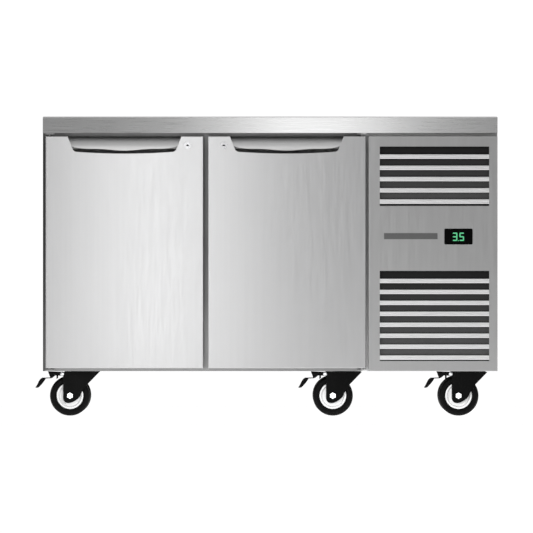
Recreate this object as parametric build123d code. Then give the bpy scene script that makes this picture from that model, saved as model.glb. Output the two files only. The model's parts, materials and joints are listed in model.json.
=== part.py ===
from build123d import *
import os

# Undercounter refrigerator: two solid doors, a machine compartment on the right, six castors.
# Millimetres. +Z is up, the doors face -Y and +X is to the right when facing them.
# Every function below works about the middle of the cabinet, and save() then moves each piece
# so that the origin is on the floor, in the middle of the whole footprint with its brake pedals.

# ---- overall sizes ----
WIDTH = 1360.0
DEPTH = 700.0
HEIGHT = 895.0
LEFT = -WIDTH / 2
RIGHT = WIDTH / 2
FRONT = -DEPTH / 2
BACK = DEPTH / 2
SHEET = 1.0  # outer steel
THIN_SHEET = 0.8  # inner liner steel
GAP = 0.5  # between pieces that move past each other
CUT = 5.0  # how far a cutting solid runs past the face that it cuts

# ---- heights and depths of the cabinet ----
BODY_BOTTOM = 133.6
PAN_TOP = 153.0
BODY_TOP = 846.0
WORKTOP_SHEET = 1.2
WORKTOP_RETURN = 62.0
FACE = FRONT + 1.0  # doors and machine panel, just behind the worktop's edge
FRAME_FACE = -287.5
BODY_FRONT = FRAME_FACE + SHEET
WALL = 54.0  # insulation thickness
BOX_RIGHT = 400.0  # right-hand end of the insulated box
FLOOR_IN = 207.0
CEILING_IN = 800.0
INSIDE_RIGHT = BOX_RIGHT - 55.0
INSIDE_BACK = BACK - SHEET - WALL
POST_BACK = FRAME_FACE + 55.5  # rear of the front wall and of the mullion

# ---- doors ----
DOOR_WIDTH = 471.5
DOOR_BOTTOM = 142.3
DOOR_TOP = 835.8
DOOR_BACK = FACE + 50.0
LEFT_DOOR_EDGE = -671.3
RIGHT_DOOR_EDGE = 285.8
LAP_HINGE = 46.3  # how far a door laps its opening at the hinge, the other side, top and bottom
LAP_FREE = 40.0
OPENING_BOTTOM = 210.0
OPENING_TOP = 797.0
DOOR_CORNER = 2.0
HINGE_INSET = 12.0
HINGE_PIN_R = 4.0
HINGE_CLEARANCE = 0.05
HINGE_BOSS_R = 9.0
HINGE_BOSS_LENGTH = 12.0
HINGE_PLATE = 4.5
HINGE_PIN_REACH = 13.0
GASKET_INSET = 20.0  # to the gasket's centre line
GASKET_BASE = 16.0
GASKET_NECK = 7.0
GASKET_BASE_DEPTH = 3.0
GASKET_NECK_DEPTH = 4.0
GASKET_HEAD = 15.0
GASKET_BARB = 3.6
GROOVE = 4.0
GROOVE_DEPTH = 6.5

# ---- handle scoop in a door's top edge ----
HANDLE_TOP_HALF = 172.0
HANDLE_SLANT = 0.4  # how much narrower a side gets for each millimetre down
HANDLE_CORNER_DROP = 47.0
HANDLE_MIDDLE_DROP = 53.0
HANDLE_CORNER_R = 16.0
HANDLE_DEPTH = 40.0
HANDLE_WALL = 1.5
BLADE_SHEET = 1.8
LIP_END = (161.0, -28.0)
LIP_SHOULDER = (138.0, -34.5)
LIP_QUARTER = (76.0, -37.5)
LIP_MIDDLE = (0.0, -42.5)
BLADE_SHOULDER = (11.5, -15.4)
FLOOR_FRONT = -52.5  # the scoop's curved floor, below the door's top edge
FLOOR_MIDDLE = (20.0, -48.5)
FLOOR_REAR = -28.0

# ---- door lock ----
LOCK_INSET = 47.3
LOCK_DROP = 27.0
LOCK_FLANGE_R = 11.5
LOCK_FLANGE = 1.0
LOCK_FLANGE_BEVEL = 0.6
LOCK_PLUG_SUNK = 0.5
LOCK_BARREL_R = 9.5
LOCK_PLUG_R = 6.0
LOCK_BARREL_LENGTH = 24.0
LOCK_CAM_LENGTH = 44.0
LOCK_CAM_HALF = 5.5
LOCK_CAM_SHEET = 2.5
LOCK_HUB_R = 8.0

# ---- machine compartment front ----
PANEL_LEFT = 294.3
PANEL_SHEET = 1.2
WINDOW_LEFT = 327.8
WINDOW_RIGHT = 654.9
UPPER_WINDOW = (627.6, 805.5)
LOWER_WINDOW = (164.2, 433.6)
WINDOW_FLANGE = 10.0
BAR_HEIGHT = 13.3
BAR_DEPTH = 6.0
FIRST_BAR_DROP = 30.1
UPPER_BARS = 5
UPPER_PITCH = 33.6
LOWER_BARS = 8
LOWER_PITCH = 32.74
DISPLAY_X = (520.8, 605.4)
DISPLAY_Z = (512.5, 560.0)
DISPLAY_CORNER = 4.0

# ---- castors ----
WHEEL_R = 60.0
TYRE_WIDTH = 32.0
RIM_R = 40.0
HUB_WIDTH = 36.0
AXLE_R = 6.0
TRAIL = 36.0  # from the wheel's axle to the swivel axis
FRONT_WHEELS_X = (-599.3, 187.7, 564.0)
FRONT_CASTOR_Y = -235.0
REAR_CASTOR_Y = 290.0
CROWN_BOTTOM = 127.0
CROWN_TOP = 131.0
CASTOR_PLATE_TOP = PAN_TOP - SHEET
CASTOR_PLATE = 4.0
LEG_OUTSIDE = 24.0
LEG_SHEET = 3.0
RACE_R = 30.0
KING_PIN_R = 6.0
PLATE_LENGTH = 105.0
PLATE_WIDTH = 85.0
BOLT_X = 40.0
BOLT_Y = 30.0
BOLT_R = 4.0
BRAKE_X = -23.4  # brake pivot, from the wheel's centre
BRAKE_Z = 125.5
PEDAL_REACH = 104.0  # the pedal's tip, from the wheel's centre

# ---- machine compartment contents ----
CONDENSER_X = (410.0, 660.0)
CONDENSER_Y = (-280.0, -236.0)
CONDENSER_Z = (165.0, 428.0)
CONDENSER_FAN = (535.0, 296.0)
CONDENSER_FAN_R = 105.0
COMPRESSOR = (560.0, 90.0)
COMPRESSOR_R = 88.0
COMPRESSOR_Z = (PAN_TOP + 22.0, PAN_TOP + 215.0)
COVER_X = 247.0
EVAPORATOR_FAN = (-60.0, 650.0)
EVAPORATOR_FAN_R = 76.0
CONDENSER_FAN_Y = (-214.0, -190.0)
EVAPORATOR_FAN_X = (256.0, 276.0)
SHAFT_R = 4.0
FAN_CLEARANCE = 0.05
FAN_RIM = 4.0  # gap between a fan's blades and its opening
SUCTION_PORT = (120.0, 545.0)
LIQUID_PORT = (160.0, 545.0)
PORT_R = 9.0
INLET_X = (560.0, 588.0)
INLET_Z = (640.0, 662.0)

# ---- storage space ----
STRIP_WIDTH = 22.0
STRIP_DEPTH = 10.0
STRIP_FRONT_Y = -190.0
STRIP_REAR_Y = 250.0
SHELF_Z = 500.0
SHELF_Y = (-205.0, 270.0)
SHELF_FRAME_R = 3.0
SHELF_BEND = 14.0
SHELF_WIRE_R = 1.6
SHELF_PITCH = 22.0
SHELF_SINK = 0.4  # how far a wire's centre lies below the frame's top

ORIGIN_SHIFT = (-FRONT_WHEELS_X[0] + PEDAL_REACH - WIDTH / 2) / 2


# ---------------------------------------------------------------- helpers
def block(x, y, z):
    """A box between two X, two Y and two Z values."""
    middle = Pos((x[0] + x[1]) / 2, (y[0] + y[1]) / 2, (z[0] + z[1]) / 2)
    return middle * Box(x[1] - x[0], y[1] - y[0], z[1] - z[0])


def rod_x(x, y, z, radius):
    """A round bar along X, from x[0] to x[1]."""
    return Pos((x[0] + x[1]) / 2, y, z) * Rot(0, 90, 0) * Cylinder(radius, x[1] - x[0])


def rod_y(x, y, z, radius):
    """A round bar along Y, from y[0] to y[1]."""
    return Pos(x, (y[0] + y[1]) / 2, z) * Rot(90, 0, 0) * Cylinder(radius, y[1] - y[0])


def rod_z(x, y, z, radius):
    """A round bar along Z, from z[0] to z[1]."""
    return Pos(x, y, (z[0] + z[1]) / 2) * Cylinder(radius, z[1] - z[0])


def along_y(outline, y):
    """A prism with an outline drawn in X and Z, from y[0] to y[1]."""
    plane = Plane(origin=(0, y[1], 0), x_dir=(1, 0, 0), z_dir=(0, -1, 0))
    return extrude(plane * outline, amount=y[1] - y[0])


def along_x(outline, x):
    """A prism with an outline drawn in Y and Z, from x[0] to x[1]."""
    plane = Plane(origin=(x[0], 0, 0), x_dir=(0, 1, 0), z_dir=(1, 0, 0))
    return extrude(plane * outline, amount=x[1] - x[0])


def along_z(outline, z):
    """A prism with an outline drawn in X and Y, from z[0] to z[1]."""
    return Pos(0, 0, z[0]) * extrude(outline, amount=z[1] - z[0])


def polygon(*points):
    """A flat face with straight sides."""
    return make_face(Polyline(*points, close=True))


def ring(x, y, z, width):
    """A rectangular frame in X and Z whose centre line is the given rectangle."""
    half = width / 2
    outside = block((x[0] - half, x[1] + half), y, (z[0] - half, z[1] + half))
    inside = block((x[0] + half, x[1] - half), (y[0] - CUT, y[1] + CUT), (z[0] + half, z[1] - half))
    return outside - inside


def tube(points, bend, radius):
    """A round pipe through the given corners, each rounded to the bend radius."""
    path = FilletPolyline(*points, radius=bend)
    return sweep(Plane(origin=path @ 0, z_dir=path % 0) * Circle(radius), path=path)


def hexagon_prism(across_flats, height):
    """A hexagonal head or nut standing on the XY plane."""
    return extrude(RegularPolygon(across_flats / 2, 6, major_radius=False), amount=height)


def save(name, *pieces):
    """Writes one node, moved from the cabinet's middle to the origin of the whole footprint."""
    moved = [Pos(ORIGIN_SHIFT, 0, 0) * piece for piece in pieces]
    solids = [solid for piece in moved for solid in piece.solids()]
    shape = solids[0] if len(solids) == 1 else Compound(solids)
    export_step(shape, f"parts/{name}.step")


# ---------------------------------------------------------------- worktop
def worktop():
    """A folded steel tray, upside down, with returns along the front and stiffening channels."""
    corner = 3.0
    channel_depth = 30.0
    channel_width = 60.0
    slot = (12.0, 8.0, 40.0)  # lock slot: past the cam's low side, half depth, towards the tip
    outside = block((LEFT, RIGHT), (FRONT, BACK), (BODY_TOP, HEIGHT))
    outside = fillet(outside.edges().group_by(Axis.Z)[-1], corner)
    inside = block(
        (LEFT + WORKTOP_SHEET, RIGHT - WORKTOP_SHEET),
        (FRONT + WORKTOP_SHEET, BACK - WORKTOP_SHEET),
        (BODY_TOP - CUT, HEIGHT - WORKTOP_SHEET),
    )
    tray = outside - inside
    edge = (BODY_TOP, BODY_TOP + WORKTOP_SHEET)
    tray += block((LEFT, RIGHT), (FRONT, FRONT + WORKTOP_RETURN), edge)
    for x in (LEFT / 2, 0.0, RIGHT / 2):
        bar = (x - channel_width / 2, x + channel_width / 2)
        under = HEIGHT - WORKTOP_SHEET
        channel = block(bar, (FRONT + WORKTOP_RETURN, BACK), (under - channel_depth, under))
        hollow = block(
            (bar[0] + WORKTOP_SHEET, bar[1] - WORKTOP_SHEET),
            (FRONT + WORKTOP_RETURN - CUT, BACK - WORKTOP_SHEET),
            (under - channel_depth + WORKTOP_SHEET, under),
        )
        tray += channel - hollow
    for side in ("left", "right"):
        x, tip = lock_place(side)
        y = cam_depth()
        low, high = sorted((x - tip * slot[0], x + tip * slot[2]))
        middle = (y[0] + y[1]) / 2
        cut_y = (middle - slot[1] / 2, middle + slot[1] / 2)
        tray -= block((low, high), cut_y, (BODY_TOP - CUT, BODY_TOP + WORKTOP_SHEET + CUT))
    return tray


# ---------------------------------------------------------------- cabinet body
def opening_spans():
    """The two door openings in the front wall, as pairs of X values."""
    left = (LEFT_DOOR_EDGE + LAP_HINGE, LEFT_DOOR_EDGE + DOOR_WIDTH - LAP_FREE)
    right = (RIGHT_DOOR_EDGE - DOOR_WIDTH + LAP_FREE, RIGHT_DOOR_EDGE - LAP_FREE)
    return (left, right)


def cavity(shrink):
    """The cold space with its two door openings, made smaller all round by a sheet's thickness."""
    corner = 14.0
    room = block(
        (LEFT + SHEET + WALL + shrink, INSIDE_RIGHT - shrink),
        (POST_BACK + shrink, INSIDE_BACK - shrink),
        (FLOOR_IN + shrink, CEILING_IN - shrink),
    )
    room = fillet(room.edges().filter_by(Axis.Z), corner)
    for span in opening_spans():
        room += block(
            (span[0] + shrink, span[1] - shrink),
            (FRAME_FACE - CUT, POST_BACK + WALL),
            (OPENING_BOTTOM + shrink, OPENING_TOP - shrink),
        )
    return room


def castor_centres():
    """Where each castor's wheel is in X, its Y and whether it has a brake."""
    front = [(x, FRONT_CASTOR_Y, True) for x in FRONT_WHEELS_X]
    rear = [(x, REAR_CASTOR_Y, False) for x in FRONT_WHEELS_X]
    return front + rear


def castor_bolt_places():
    """The X and Y of every castor bolt."""
    for x, y, _ in castor_centres():
        for dx in (-BOLT_X, BOLT_X):
            for dy in (-BOLT_Y, BOLT_Y):
                yield (x + TRAIL + dx, y + dy)


def outer_casing():
    """Sides, back, roof, base pan and the wall between the cold space and the machine space."""
    vents = 9
    vent_width = 190.0
    vent_height = 7.0
    vent_pitch = 22.0
    vent_middle = 540.0
    vent_bottom = 230.0
    shell = block((LEFT, RIGHT), (BODY_FRONT, BACK), (BODY_BOTTOM, BODY_TOP))
    sides = (LEFT + SHEET, RIGHT - SHEET)
    depth = (BODY_FRONT - CUT, BACK - SHEET)
    shell -= block(sides, depth, (PAN_TOP, BODY_TOP - SHEET))
    shell -= block(sides, depth, (BODY_BOTTOM - CUT, PAN_TOP - SHEET))
    shell += block((BOX_RIGHT, BOX_RIGHT + SHEET), (BODY_FRONT, BACK), (PAN_TOP, BODY_TOP))
    shell += block((BOX_RIGHT, RIGHT), (FRAME_FACE, BODY_FRONT), (BODY_BOTTOM, PAN_TOP))
    through = (BACK - SHEET - CUT, BACK + CUT)
    for i in range(vents):
        z = vent_bottom + i * vent_pitch
        slot = SlotOverall(vent_width, vent_height)
        shell -= along_y(Pos(vent_middle, z) * slot, through)
    shell -= block(INLET_X, through, INLET_Z)
    for y, z in (SUCTION_PORT, LIQUID_PORT):
        shell -= rod_x((BOX_RIGHT - CUT, BOX_RIGHT + CUT), y, z, PORT_R)
    for x, y in castor_bolt_places():
        shell -= rod_z(x, y, (PAN_TOP - SHEET - CUT, PAN_TOP + CUT), BOLT_R + GAP)
    return shell


def cabinet_insulation():
    """Rigid foam panels: floor, roof, back, both ends, the mullion and the post at the right."""
    bolt_space = 14.0
    x = (LEFT + SHEET, BOX_RIGHT)
    y = (BODY_FRONT, BACK - SHEET)
    z = (FLOOR_IN, CEILING_IN)
    front_wall = (BODY_FRONT, POST_BACK)
    left_opening, right_opening = opening_spans()
    floor = block(x, y, (PAN_TOP, FLOOR_IN))
    for bolt_x, bolt_y in castor_bolt_places():
        if bolt_x < BOX_RIGHT:
            floor -= rod_z(bolt_x, bolt_y, (PAN_TOP - CUT, PAN_TOP + bolt_space), BOLT_R + GAP)
    roof = block(x, y, (CEILING_IN, BODY_TOP - SHEET))
    back = block(x, (INSIDE_BACK, y[1]), z)
    left_end = block((x[0], x[0] + WALL), (y[0], INSIDE_BACK), z)
    right_end = block((INSIDE_RIGHT, x[1]), (y[0], INSIDE_BACK), z)
    for port_y, port_z in (SUCTION_PORT, LIQUID_PORT):
        right_end -= rod_x((INSIDE_RIGHT - CUT, BOX_RIGHT + CUT), port_y, port_z, PORT_R)
    mullion = block((left_opening[1], right_opening[0]), front_wall, z)
    post = block((right_opening[1], INSIDE_RIGHT), front_wall, z)
    return [floor, roof, back, left_end, right_end, mullion, post]


def inner_liner():
    """The steel skin of the cold space, which reaches forward to the front frame."""
    liner = cavity(0.0) - cavity(THIN_SHEET)
    liner -= block((LEFT, RIGHT), (FRONT, BODY_FRONT), (BODY_BOTTOM, BODY_TOP))
    for y, z in (SUCTION_PORT, LIQUID_PORT):
        liner -= rod_x((INSIDE_RIGHT - CUT, INSIDE_RIGHT + CUT), y, z, PORT_R)
    return liner


def front_frame():
    """The flat steel face around both door openings, with short returns into them."""
    reach = 24.0
    frame = block((LEFT, BOX_RIGHT), (FRAME_FACE, BODY_FRONT), (BODY_BOTTOM, BODY_TOP))
    for span in opening_spans():
        outside = (span[0] + THIN_SHEET, span[1] - THIN_SHEET)
        inside = (outside[0] + SHEET, outside[1] - SHEET)
        height = (OPENING_BOTTOM + THIN_SHEET, OPENING_TOP - THIN_SHEET)
        clear = (height[0] + SHEET, height[1] - SHEET)
        frame += block(outside, (FRAME_FACE, BODY_FRONT + reach), height)
        frame -= block(inside, (FRAME_FACE - CUT, BODY_FRONT + reach + CUT), clear)
    return frame


# ---------------------------------------------------------------- doors
# A door is drawn with its hinge edge at X = 0 and its free edge at X = DOOR_WIDTH.
def place_door(piece, side):
    """Moves a door's piece to its side of the cabinet. The right-hand door is the mirror image."""
    if side == "left":
        return Pos(LEFT_DOOR_EDGE, 0, 0) * piece
    return Pos(RIGHT_DOOR_EDGE, 0, 0) * mirror(piece, Plane.YZ)


def lock_place(side):
    """The X of a door's lock in the cabinet, and +1 or -1 for the way its cam rests."""
    if side == "left":
        return (LEFT_DOOR_EDGE + DOOR_WIDTH - LOCK_INSET, 1)
    return (RIGHT_DOOR_EDGE - DOOR_WIDTH + LOCK_INSET, -1)


def cam_depth():
    """The front and rear of a lock's cam."""
    front = FACE + LOCK_BARREL_LENGTH + GAP
    return (front, front + LOCK_CAM_SHEET)


def handle_outline():
    """The handle's cut-out, drawn about the middle of the handle, below the door's top edge."""
    low_half = HANDLE_TOP_HALF - HANDLE_SLANT * HANDLE_CORNER_DROP
    high_half = HANDLE_TOP_HALF + HANDLE_SLANT * CUT
    low_right = (low_half, -HANDLE_CORNER_DROP)
    low_left = (-low_half, -HANDLE_CORNER_DROP)
    top = Polyline(low_left, (-high_half, CUT), (high_half, CUT), low_right)
    bottom = ThreePointArc(low_right, (0, -HANDLE_MIDDLE_DROP), low_left)
    face = make_face(Curve() + [top, bottom])
    corners = face.vertices().filter_by(lambda corner: corner.Y < 0)
    return fillet(corners, HANDLE_CORNER_R)


def handle_space():
    """The solid that the whole handle scoop takes out of a door."""
    outline = Pos(DOOR_WIDTH / 2, DOOR_TOP) * handle_outline()
    return along_y(outline, (FACE - CUT, FACE + HANDLE_DEPTH))


def door_skin():
    """The folded outer steel of a door, with its hinge bosses."""
    shell = block((0, DOOR_WIDTH), (FACE, DOOR_BACK - SHEET), (DOOR_BOTTOM, DOOR_TOP))
    front_edges = shell.edges().group_by(Axis.Y)[0]
    shell = fillet(front_edges, DOOR_CORNER)
    shell -= door_inside()
    for boss in hinge_bosses():
        shell += boss
    for hole in hinge_holes():
        shell -= hole
    shell -= handle_space()
    shell -= rod_y(lock_u(), (FACE - CUT, FACE + CUT), lock_z(), LOCK_BARREL_R)
    shell -= cam_slot()
    return shell


def door_inside():
    """The space within a door's skin."""
    return block(
        (SHEET, DOOR_WIDTH - SHEET),
        (FACE + SHEET, DOOR_BACK - SHEET),
        (DOOR_BOTTOM + SHEET, DOOR_TOP - SHEET),
    )


def hinge_bosses():
    """Steel bosses inside the skin, top and bottom, that turn on the hinge pins."""
    low = (DOOR_BOTTOM + SHEET, DOOR_BOTTOM + SHEET + HINGE_BOSS_LENGTH)
    high = (DOOR_TOP - SHEET - HINGE_BOSS_LENGTH, DOOR_TOP - SHEET)
    y = FACE + HINGE_INSET
    return [rod_z(HINGE_INSET, y, low, HINGE_BOSS_R), rod_z(HINGE_INSET, y, high, HINGE_BOSS_R)]


def hinge_holes():
    """The running holes through the bosses."""
    radius = HINGE_PIN_R + HINGE_CLEARANCE
    reach = SHEET + HINGE_BOSS_LENGTH
    low = (DOOR_BOTTOM - CUT, DOOR_BOTTOM + reach)
    high = (DOOR_TOP - reach, DOOR_TOP + CUT)
    y = FACE + HINGE_INSET
    return [rod_z(HINGE_INSET, y, low, radius), rod_z(HINGE_INSET, y, high, radius)]


def hinge_pin_spaces():
    """Room in the foam beyond each boss for the end of a hinge pin."""
    room = 6.0
    y = FACE + HINGE_INSET
    reach = SHEET + HINGE_BOSS_LENGTH
    low = (DOOR_BOTTOM + reach, DOOR_BOTTOM + reach + room)
    high = (DOOR_TOP - reach - room, DOOR_TOP - reach)
    return [rod_z(HINGE_INSET, y, low, HINGE_BOSS_R), rod_z(HINGE_INSET, y, high, HINGE_BOSS_R)]


def lock_u():
    """A lock's X in the door's own drawing."""
    return DOOR_WIDTH - LOCK_INSET


def lock_z():
    """A lock's height."""
    return DOOR_TOP - LOCK_DROP


def cam_slot():
    """The slot in the door's top return through which the cam rises."""
    y = cam_depth()
    x = (lock_u() - LOCK_CAM_HALF - 2 * GAP, DOOR_WIDTH - 3 * SHEET)
    return block(x, (y[0] - 4 * GAP, y[1] + 4 * GAP), (DOOR_TOP - 3 * SHEET, DOOR_TOP + CUT))


def lock_space():
    """The pocket in the foam for the lock's barrel and the swing of its cam."""
    y = cam_depth()
    room_y = (y[0] - 4 * GAP, y[1] + 4 * GAP)
    below = LOCK_HUB_R + 4 * GAP
    space = rod_y(lock_u(), (FACE - CUT, y[0]), lock_z(), LOCK_BARREL_R)
    x = (lock_u() - below, DOOR_WIDTH - SHEET)
    return space + block(x, room_y, (lock_z() - below, DOOR_TOP))


def gasket_line():
    """The rectangle that the door's gasket follows."""
    x = (GASKET_INSET, DOOR_WIDTH - GASKET_INSET)
    z = (DOOR_BOTTOM + GASKET_INSET, DOOR_TOP - GASKET_INSET)
    return (x, z)


def door_foam():
    """The foam core of a door."""
    x, z = gasket_line()
    channel = GROOVE + 2 * THIN_SHEET
    foam = door_inside() - handle_space() - lock_space()
    for space in hinge_bosses() + hinge_pin_spaces():
        foam -= space
    back = DOOR_BACK - SHEET
    foam -= ring(x, (back - GROOVE_DEPTH - THIN_SHEET, back), z, channel)
    return foam


def door_inner_panel():
    """The inside face of a door, with the folded channel that holds the gasket."""
    x, z = gasket_line()
    back = DOOR_BACK - SHEET
    edge = 0.5
    panel = block((edge, DOOR_WIDTH - edge), (back, DOOR_BACK), (DOOR_BOTTOM + edge, DOOR_TOP - edge))
    panel += ring(x, (back - GROOVE_DEPTH - THIN_SHEET, back), z, GROOVE + 2 * THIN_SHEET)
    panel -= ring(x, (back - GROOVE_DEPTH, DOOR_BACK + CUT), z, GROOVE)
    return panel


def door_gasket():
    """A push-in magnetic gasket: barb, base, neck and sealing head."""
    x, z = gasket_line()
    base = DOOR_BACK + GASKET_BASE_DEPTH
    neck = base + GASKET_NECK_DEPTH
    head = FRAME_FACE - GAP
    seal = ring(x, (DOOR_BACK, base), z, GASKET_BASE)
    seal += ring(x, (base, neck), z, GASKET_NECK)
    seal += ring(x, (neck, head), z, GASKET_HEAD)
    seal += ring(x, (DOOR_BACK - GROOVE_DEPTH, DOOR_BACK), z, GASKET_BARB)
    return seal


def blade_profile():
    """The pull blade in section, upright at its lip and curving back to the door's top edge."""
    top = (FACE + HANDLE_DEPTH - HANDLE_WALL - GAP, 0.0)
    shoulder = (FACE + BLADE_SHOULDER[0], BLADE_SHOULDER[1])
    lip = (FACE + 2 * GAP, LIP_MIDDLE[1] - BLADE_SHEET)
    under = (BLADE_SHEET, -BLADE_SHEET)
    upper = ThreePointArc(top, shoulder, lip)
    lower = Pos(*under) * ThreePointArc(top, shoulder, lip)
    near = Line(lip, (lip[0] + under[0], lip[1] + under[1]))
    far = Line((top[0] + under[0], top[1] + under[1]), top)
    return make_face(Curve() + [upper, near, lower, far])


def scoop_floor():
    """All that is above the scoop's floor in section. The floor curves up to the rear wall."""
    start = (FACE - CUT, FLOOR_FRONT)
    end = (FACE + HANDLE_DEPTH + CUT, FLOOR_REAR)
    floor = ThreePointArc(start, (FACE + FLOOR_MIDDLE[0], FLOOR_MIDDLE[1]), end)
    rest = Polyline(end, (end[0], CUT), (start[0], CUT), start)
    return make_face(Curve() + [floor, rest])


def lip_outline():
    """All of the handle that is above the blade's lip, seen from the front."""
    half = HANDLE_TOP_HALF + CUT
    low = LIP_END[1]
    left = [(-x, z) for x, z in (LIP_END, LIP_SHOULDER, LIP_QUARTER)]
    lip = Spline(LIP_END, LIP_SHOULDER, LIP_QUARTER, LIP_MIDDLE, *reversed(left))
    sides = Polyline(left[0], (-half, low), (-half, 0), (half, 0), (half, low), LIP_END)
    return make_face(Curve() + [lip, sides])


def door_handle():
    """A moulded scoop with a curved floor, and the blade that the fingers pull."""
    outline = handle_outline()
    half = HANDLE_TOP_HALF + CUT
    back = FACE + HANDLE_DEPTH
    hollow_y = (FACE - CUT, back - HANDLE_WALL)
    open_half = HANDLE_TOP_HALF - 2 * HANDLE_WALL
    top_cut = block((-half, half), (FACE - CUT, back + CUT), (0, 2 * CUT))
    hollow = along_y(offset(outline, -HANDLE_WALL), hollow_y)
    hollow += block((-open_half, open_half), hollow_y, (-2 * HANDLE_WALL, CUT))
    hollow = hollow & along_x(scoop_floor(), (-half, half))
    scoop = along_y(outline, (FACE, back)) - top_cut - hollow
    blade = along_x(blade_profile(), (-half, half)) & along_y(lip_outline(), (FACE, back))
    blade = blade & along_y(offset(outline, -HANDLE_WALL / 2), (FACE, back))
    return Pos(DOOR_WIDTH / 2, 0, DOOR_TOP) * (scoop + blade)


def lock_barrel():
    """The fixed part of a lock, with its round flange on the door's face."""
    flange = (FACE - LOCK_FLANGE, FACE)
    body = (FACE, FACE + LOCK_BARREL_LENGTH)
    barrel = rod_y(lock_u(), flange, lock_z(), LOCK_FLANGE_R)
    barrel = chamfer(barrel.edges().group_by(Axis.Y)[0], LOCK_FLANGE_BEVEL)
    barrel += rod_y(lock_u(), body, lock_z(), LOCK_BARREL_R)
    bore = (flange[0] - CUT, body[1] + CUT)
    return barrel - rod_y(lock_u(), bore, lock_z(), LOCK_PLUG_R + HINGE_CLEARANCE)


def lock_cam():
    """The turning plug with its keyway, and the cam that rises into the worktop's slot."""
    y = cam_depth()
    keyway = (8.0, 1.6, 9.0)
    tip_half = 4.5
    plug = rod_y(lock_u(), (FACE - LOCK_FLANGE + LOCK_PLUG_SUNK, y[0]), lock_z(), LOCK_PLUG_R)
    mid = lock_z()
    plug -= block(
        (lock_u() - keyway[0] / 2, lock_u() + keyway[0] / 2),
        (FACE - CUT, FACE + keyway[2]),
        (mid - keyway[1] / 2, mid + keyway[1] / 2),
    )
    tip = lock_u() + LOCK_CAM_LENGTH
    arm = polygon(
        (lock_u(), mid - LOCK_CAM_HALF),
        (tip, mid - tip_half),
        (tip, mid + tip_half),
        (lock_u(), mid + LOCK_CAM_HALF),
    )
    cam = along_y(arm, y) + rod_y(lock_u(), y, mid, LOCK_HUB_R)
    return plug + cam


def hinge_brackets():
    """Plates that carry the hinge pins, one above and one below each door."""
    half = 14.0
    front = FACE + 2.0
    flange_top = 150.0
    flange = 3.5
    bottom = BODY_BOTTOM + 0.4
    brackets = []
    for x in (LEFT_DOOR_EDGE + HINGE_INSET, RIGHT_DOOR_EDGE - HINGE_INSET):
        y = FACE + HINGE_INSET
        span = (x - half, min(x + half, PANEL_LEFT - GAP))
        if x < 0:
            span = (max(x - half, LEFT + SHEET), x + half)
        upper = block(span, (front, FRAME_FACE), (BODY_TOP - HINGE_PLATE, BODY_TOP))
        upper += rod_z(x, y, (DOOR_TOP - HINGE_PIN_REACH, BODY_TOP - HINGE_PLATE), HINGE_PIN_R)
        lower = block(span, (front, FRAME_FACE), (bottom, bottom + HINGE_PLATE))
        lower += block(span, (FRAME_FACE - flange, FRAME_FACE), (bottom, flange_top))
        lower += rod_z(x, y, (bottom + HINGE_PLATE, DOOR_BOTTOM + HINGE_PIN_REACH), HINGE_PIN_R)
        brackets += [upper, lower]
    return brackets


# ---------------------------------------------------------------- machine compartment front
def machine_front_panel():
    """A folded panel with two grille windows and a cut-out for the controller."""
    corner = 1.5
    face_y = (FACE - CUT, FACE + PANEL_SHEET + CUT)
    panel = block((PANEL_LEFT, RIGHT), (FACE, FRAME_FACE), (BODY_BOTTOM, DOOR_TOP))
    panel = fillet(panel.edges().group_by(Axis.Y)[0], corner)
    panel -= block(
        (PANEL_LEFT + PANEL_SHEET, RIGHT - PANEL_SHEET),
        (FACE + PANEL_SHEET, FRAME_FACE + CUT),
        (BODY_BOTTOM + PANEL_SHEET, DOOR_TOP - PANEL_SHEET),
    )
    rim_x = (WINDOW_LEFT - SHEET / 2, WINDOW_RIGHT + SHEET / 2)
    rim_y = (FACE + PANEL_SHEET, FACE + PANEL_SHEET + WINDOW_FLANGE)
    for window in (UPPER_WINDOW, LOWER_WINDOW):
        panel += ring(rim_x, rim_y, (window[0] - SHEET / 2, window[1] + SHEET / 2), SHEET)
        panel -= block((WINDOW_LEFT, WINDOW_RIGHT), face_y, window)
    panel -= block(controller_body()[0], face_y, controller_body()[1])
    return panel


def louvre_bars():
    """The grille bars of both windows: each is a rail with two rounded ridges."""
    half = BAR_HEIGHT / 2
    front = FACE + 0.6
    rear = front + BAR_DEPTH
    ridge = 1.6
    crease = 1.9
    ridge_points = [(crease, 0.0), (half - ridge, 0.0), (half - ridge / 3, ridge / 3), (half, ridge)]
    upper = [(front + y, z) for z, y in ridge_points]
    lower = [(y, -z) for y, z in reversed(upper)]
    outline = polygon(*lower, (front + crease, 0.0), *upper, (rear, half), (rear, -half))
    bars = []
    for window, count, pitch in (
        (UPPER_WINDOW, UPPER_BARS, UPPER_PITCH),
        (LOWER_WINDOW, LOWER_BARS, LOWER_PITCH),
    ):
        for i in range(count):
            z = window[1] - FIRST_BAR_DROP - i * pitch
            bars.append(Pos(0, 0, z) * along_x(outline, (WINDOW_LEFT, WINDOW_RIGHT)))
    return bars


def air_filters():
    """A framed filter panel behind each grille window."""
    front = FACE + PANEL_SHEET + WINDOW_FLANGE
    thickness = 5.0
    edge = 6.0
    recess = 1.5
    filters = []
    for window in (UPPER_WINDOW, LOWER_WINDOW):
        x = (WINDOW_LEFT - edge, WINDOW_RIGHT + edge)
        z = (window[0] - edge, window[1] + edge)
        panel = block(x, (front, front + thickness), z)
        panel -= block((WINDOW_LEFT, WINDOW_RIGHT), (front - CUT, front + recess), window)
        filters.append(panel)
    return filters


def controller_body():
    """The X and Z spans of the controller's body behind its bezel."""
    inset = 4.0
    return (
        (DISPLAY_X[0] + inset, DISPLAY_X[1] - inset),
        (DISPLAY_Z[0] + inset, DISPLAY_Z[1] - inset),
    )


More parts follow.
